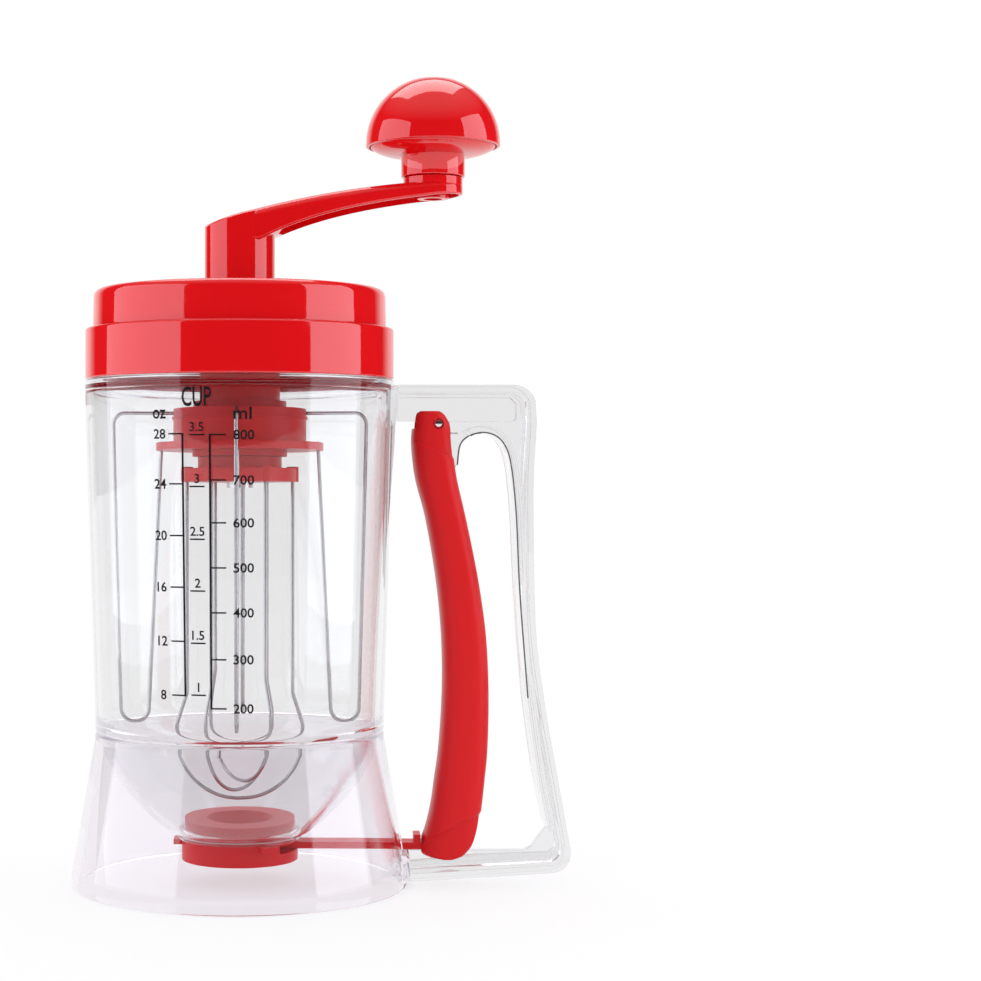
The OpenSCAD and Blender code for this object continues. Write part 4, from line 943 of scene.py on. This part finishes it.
def soft_step(value, width):
    """0 below -width, 1 above width, and 3t^2 - 2t^3 between them."""
    t = np.clip(value / (2 * width) + 0.5, 0, 1)
    return t * t * (3 - 2 * t)


def cubed_wave(v):
    """Turns a circle's sine or cosine into that of the superellipse |x|^3 + |y|^3 = 1."""
    return np.sign(v) * np.abs(v) ** (2 / 3)


levels = through(stations, 20)
a = np.arange(72) * 2 * math.pi / 72
lever_x = PIVOT_X + levels[:, 1:2] + levels[:, 2:3] * cubed_wave(np.cos(a))
lever_z = np.repeat(LEVER_FOOT + (LEVER_TOP - LEVER_FOOT) * levels[:, :1], len(a), 1)
head_crease = 146.0 - 0.425 * (lever_x - 57.6)
foot_crease = 15.9 + 0.489 * (lever_x - 62.5)
grip = soft_step(head_crease - lever_z, 0.55) * soft_step(lever_z - foot_crease, 0.55)
lever_y = (HEAD_DEPTH + (GRIP_DEPTH - HEAD_DEPTH) * grip) / 2 * cubed_wave(np.sin(a))
points = np.stack([lever_x, lever_y, lever_z], axis=-1)
caps = points[[0, -1]].mean(1, keepdims=True).repeat(len(a), 1)
points = np.concatenate([caps[:1], points, caps[1:]])
lever = new_piece("lever", [(points, grid_faces(*points.shape[:2]))], red_satin, crease=50)

front = np.stack([PIVOT_X + levels[:, 1] - levels[:, 2] + FRONT_WALL, lever_z[:, 0]], axis=-1)
side_view = np.concatenate([[(PIVOT_X - 1, LEVER_TOP + 2)], front[::4],
                            [(PIVOT_X + 3, LEVER_FOOT - 2), (PIVOT_X + 40, LEVER_FOOT - 2),
                             (PIVOT_X + 40, LEVER_TOP + 2)]])
inner = HEAD_DEPTH / 2 - CHEEK
a = np.arange(40) * 2 * math.pi / 40
pin_bore = np.stack([PIVOT_X + 1.76 * np.cos(a), PIVOT_Z + 1.76 * np.sin(a)], axis=-1)
cut(lever, prism(side_view, inner),
    block((45, -inner, PIVOT_Z - 1.6), (90, inner, PIVOT_Z + 20)),
    block((45, -SLOT_HALF, LEVER_FOOT - 1), (PIVOT_X, SLOT_HALF, 14.8)),
    block((PIVOT_X - 3, -WEB_NOTCH_HALF, LEVER_FOOT - 1),
          (PIVOT_X + 4, WEB_NOTCH_HALF, WEB_NOTCH_TOP)), prism(pin_bore, 12))
tidy_mesh(lever.data, 45)
place(lever, "lever", "red_satin", "dispensing_lever")

# %% [markdown]
# ## The handle's painted dark edge and the pin
# The finger opening has a thin dark grey wire along its edge, in two lengths at different depths,
# which draws the arch as a fine dark line. It is painted shade, standing in for the dark edge
# that bent light shows in clear plastic. The pivot pin is turned lying down, so that its up
# axis becomes Y, and its ends are shallow domes.

# %% Painted shade line round the finger opening
HANDLE_X = 97.0
arch = through(np.array([
    (PIVOT_X + 6.6, PIVOT_Z - 13.3), (PIVOT_X + 7.5, PIVOT_Z - 7), (PIVOT_X + 10.3, PIVOT_Z - 4),
    (PIVOT_X + 14.2, PIVOT_Z - 3), (PIVOT_X + 18.2, PIVOT_Z - 4), (PIVOT_X + 21.2, PIVOT_Z - 7),
    (HANDLE_X - 8.3, PIVOT_Z - 13.3), (HANDLE_X - 6.6, 122.3), (HANDLE_X - 5.4, 96.4),
    (HANDLE_X - 2.8, 62.4)]), 8)
lines = [np.column_stack([line[:, 0], np.full(len(line), side), line[:, 1]])
         for line, side in ((arch[:25], -1.5), (arch[16:], -12.0))]
# Painted shade along the arch: a dark wire where the clear edge only looks dark.
shade_line = new_piece("arch_shade_line", [swept_part(line, 0.25, sides=8) for line in lines], edge_shade_grey)
place(shade_line, "jug", "clear")

# %% Pivot pin
a = np.linspace(0, math.pi / 2, 10)
dome = np.stack([1.7 * np.cos(a), 6.9 + 0.8 * np.sin(a)], axis=-1)
pin_outline = np.concatenate([dome[::-1] * (1, -1), dome])
points, faces = turned_part(pin_outline, closed=False, sides=48)
points = points[..., [0, 2, 1]] + (PIVOT_X, 0, PIVOT_Z)
pin = new_piece("pivot_pin", [(points, faces)], polished_steel)
place(pin, "jug", "steel", "lever_pivot_pin")

# %% [markdown]
# ## The whisks
# Seven bent wires: three crossing loops on the inner disc and four hairpins on the drum. Each
# is a straight path with true arcs at its bends, with a round section carried along it.


# %% Whisk wires
WIRE_R, WIRE_TOP, LEG_R, BELLY_R = 0.6, 137.2, 17.5, 20.9
OUTER_CORNERS = [(15.0, 156.5), (42.2, 156.5), (39.4, 53.6), (30.3, 53.6), (25.9, 146.5)]


def wire_piece(name, path, turn, body):
    """One whisk wire from a path of (x, z)."""
    points, faces = swept_part(np.insert(path, 1, 0.0, axis=1), WIRE_R)
    piece = new_piece(name, [(around(points, turn), faces)], steel_wire)
    return place(piece, body, "steel_wire", name)


for index in range(3):
    foot = 27.5 + 3.0 * index
    belly_z = foot + 25.0
    half = [(LEG_R, WIRE_TOP), (LEG_R, belly_z + 10.5), (BELLY_R, belly_z), (BELLY_R, foot)]
    mirrored_half = [(-across, up) for across, up in half[::-1]]
    path = bent_path(half + mirrored_half, [9, 9, 20.4, 20.4, 9, 9], 30)
    wire_piece(f"inner_wire_{index + 1}", path, 60 * index, "crank")
for index in range(4):
    path = bent_path(OUTER_CORNERS, [4, 4.55, 4.55], 22)
    wire_piece(f"outer_wire_{index + 1}", path, 90 * index, "outer_whisk")

# %% [markdown]
# ## The lever's spring
# A close coil round the pivot pin, with a straight leg at each end. The coil's middle line goes
# round the pin at a fixed distance while it moves along it at an even rate.

# %% Spring
COIL_R, SPRING_R = 2.95, 0.35
t = np.linspace(0, 3.25, 130)
angle = 2 * math.pi * t - math.pi / 2
coil = np.stack([COIL_R * np.cos(angle), 2.9 + 0.76 * t, COIL_R * np.sin(angle)], axis=-1)
leg = np.linspace(7, 0.4, 8)[:, None]
last = coil[-1:] + np.array([[math.sin(angle[-1]), 0, -math.cos(angle[-1])]]) * leg[::-1]
first = coil[:1] + leg * np.array([[1.0, 0, 0]])
path = np.concatenate([first, coil, last]) + (PIVOT_X, 0, PIVOT_Z)
with_ends = [0, *range(len(path)), -1]
size = np.full((len(with_ends), 1), SPRING_R)
size[0] = size[-1] = 0.0
spring = new_piece("spring", [tube_part(path[with_ends], directions(path)[with_ends], (0, 1, 0),
                                        size, 10)], polished_steel)
place(spring, "lever", "steel", "lever_spring")

# %% [markdown]
# ## The printed scale
# The scale is black ink on the outside of the wall. Each number is a flat letter shape made by
# Blender's text tool and each tick is a thin rectangle. All are turned into one mesh and bent
# round the jug: across becomes an angle, across / radius, and up stays up. The film of ink
# stands 0.05 mm off the wall, which keeps it from sinking into the plastic.

# %% Printed scale
INK_GAP, INK_FILM, MEAN_RADIUS, HALF_TICK = 0.05, 0.04, 49.4, 0.24


def fitted(text, across, up, height, width=None):
    """Flat text as points (across, up) in millimetres and faces, about its own middle.

    It is scaled to a height, and to a width if one is stated."""
    words = bpy.data.curves.new("words", "FONT")
    words.body, words.size, words.offset, words.resolution_u = text, 10.0, 0.16, 3
    holder = bpy.data.objects.new("words", words)
    mesh = bpy.data.meshes.new_from_object(holder)
    spots = np.zeros(len(mesh.vertices) * 3)
    mesh.vertices.foreach_get("co", spots)
    mesh.calc_loop_triangles()
    faces = np.zeros(len(mesh.loop_triangles) * 3, dtype=int)
    mesh.loop_triangles.foreach_get("vertices", faces)
    bpy.data.objects.remove(holder)
    bpy.data.curves.remove(words)
    bpy.data.meshes.remove(mesh)
    spots = spots.reshape(-1, 3)[:, :2]
    low, high = spots.min(0), spots.max(0)
    stretch_up = height / (high[1] - low[1])
    stretch_across = width / (high[0] - low[0]) if width else stretch_up
    spots = (spots - (low + high) / 2) * (stretch_across, stretch_up) + (across, up)
    return spots, faces.reshape(-1, 3)


def bar(left, right, low, high):
    """A thin rectangle, cut into short lengths so that it can bend round the jug."""
    steps = max(2, int((right - left) / 1.5) + 1)
    edge = np.linspace(left, right, steps)
    spots = np.concatenate([np.column_stack([edge, np.full(steps, up)]) for up in (low, high)])
    first = np.arange(steps - 1)
    return spots, np.stack([first, first + 1, first + steps + 1, first + steps], axis=-1)


def tick(left, right, up):
    """A level mark of the scale."""
    return bar(left, right, up - HALF_TICK, up + HALF_TICK)


OUNCES = {28: 147.7, 24: 132.2, 20: 116.2, 16: 100.2, 12: 83.4, 8: 66.6}
CUPS = {"3.5": 147.4, "3": 131.4, "2.5": 115.1, "2": 99.1, "1.5": 82.9, "1": 66.8}
MILLILITRES = {800: 147.4, 700: 133.4, 600: 120.2, 500: 106.3, 400: 92.4, 300: 77.9, 200: 62.7}
marks = [fitted("oz", -24.0, 153.8, 2.9, 4.6), fitted("CUP", -11.8, 159.2, 6.2, 9.2),
         fitted("ml", 2.2, 154.1, 3.8, 5.6),
         bar(-16.6, -15.95, 66.35, 147.95), bar(-8.0, -7.35, 62.45, 147.65)]
for ounces, up in OUNCES.items():
    marks += [fitted(str(ounces), -24.0, up, 3.1), tick(-20.9, -16.3, up)]
for cups, up in CUPS.items():
    marks += [fitted(cups, -11.8, up + 2.45, 2.9), tick(-14.2, -9.4, up)]
for millilitres, up in MILLILITRES.items():
    marks += [fitted(str(millilitres), 2.6, up, 3.0, 6.4), tick(-7.6, -2.8, up)]


def bend_round_jug(spots):
    """Lays flat points (across, up) on the jug's wall: the angle is across / mean radius."""
    angle = spots[:, 0] / MEAN_RADIUS
    radius = wall_radius(spots[:, 1]) + INK_GAP
    return np.column_stack([radius * np.sin(angle), -radius * np.cos(angle), spots[:, 1]])


ink, tree, output = new_finish("ink")
surface = use_group(tree, moulded, Colour=linear(14, 12, 15), Variation=0.3, Roughness=0.5)
shader = add_node(tree, "BsdfPrincipled", Base_Color=surface.outputs["Colour"],
                  Roughness=surface.outputs["Roughness"], Specular_IOR_Level=0.2)
tree.links.new(shader.outputs[0], output.inputs["Surface"])
scale = new_piece("printed_scale", [(bend_round_jug(spots), faces) for spots, faces in marks], ink)
skin = scale.modifiers.new("ink_film", "SOLIDIFY")
skin.thickness, skin.offset = INK_FILM * MM, 0.0
place(scale, "jug", "clear")
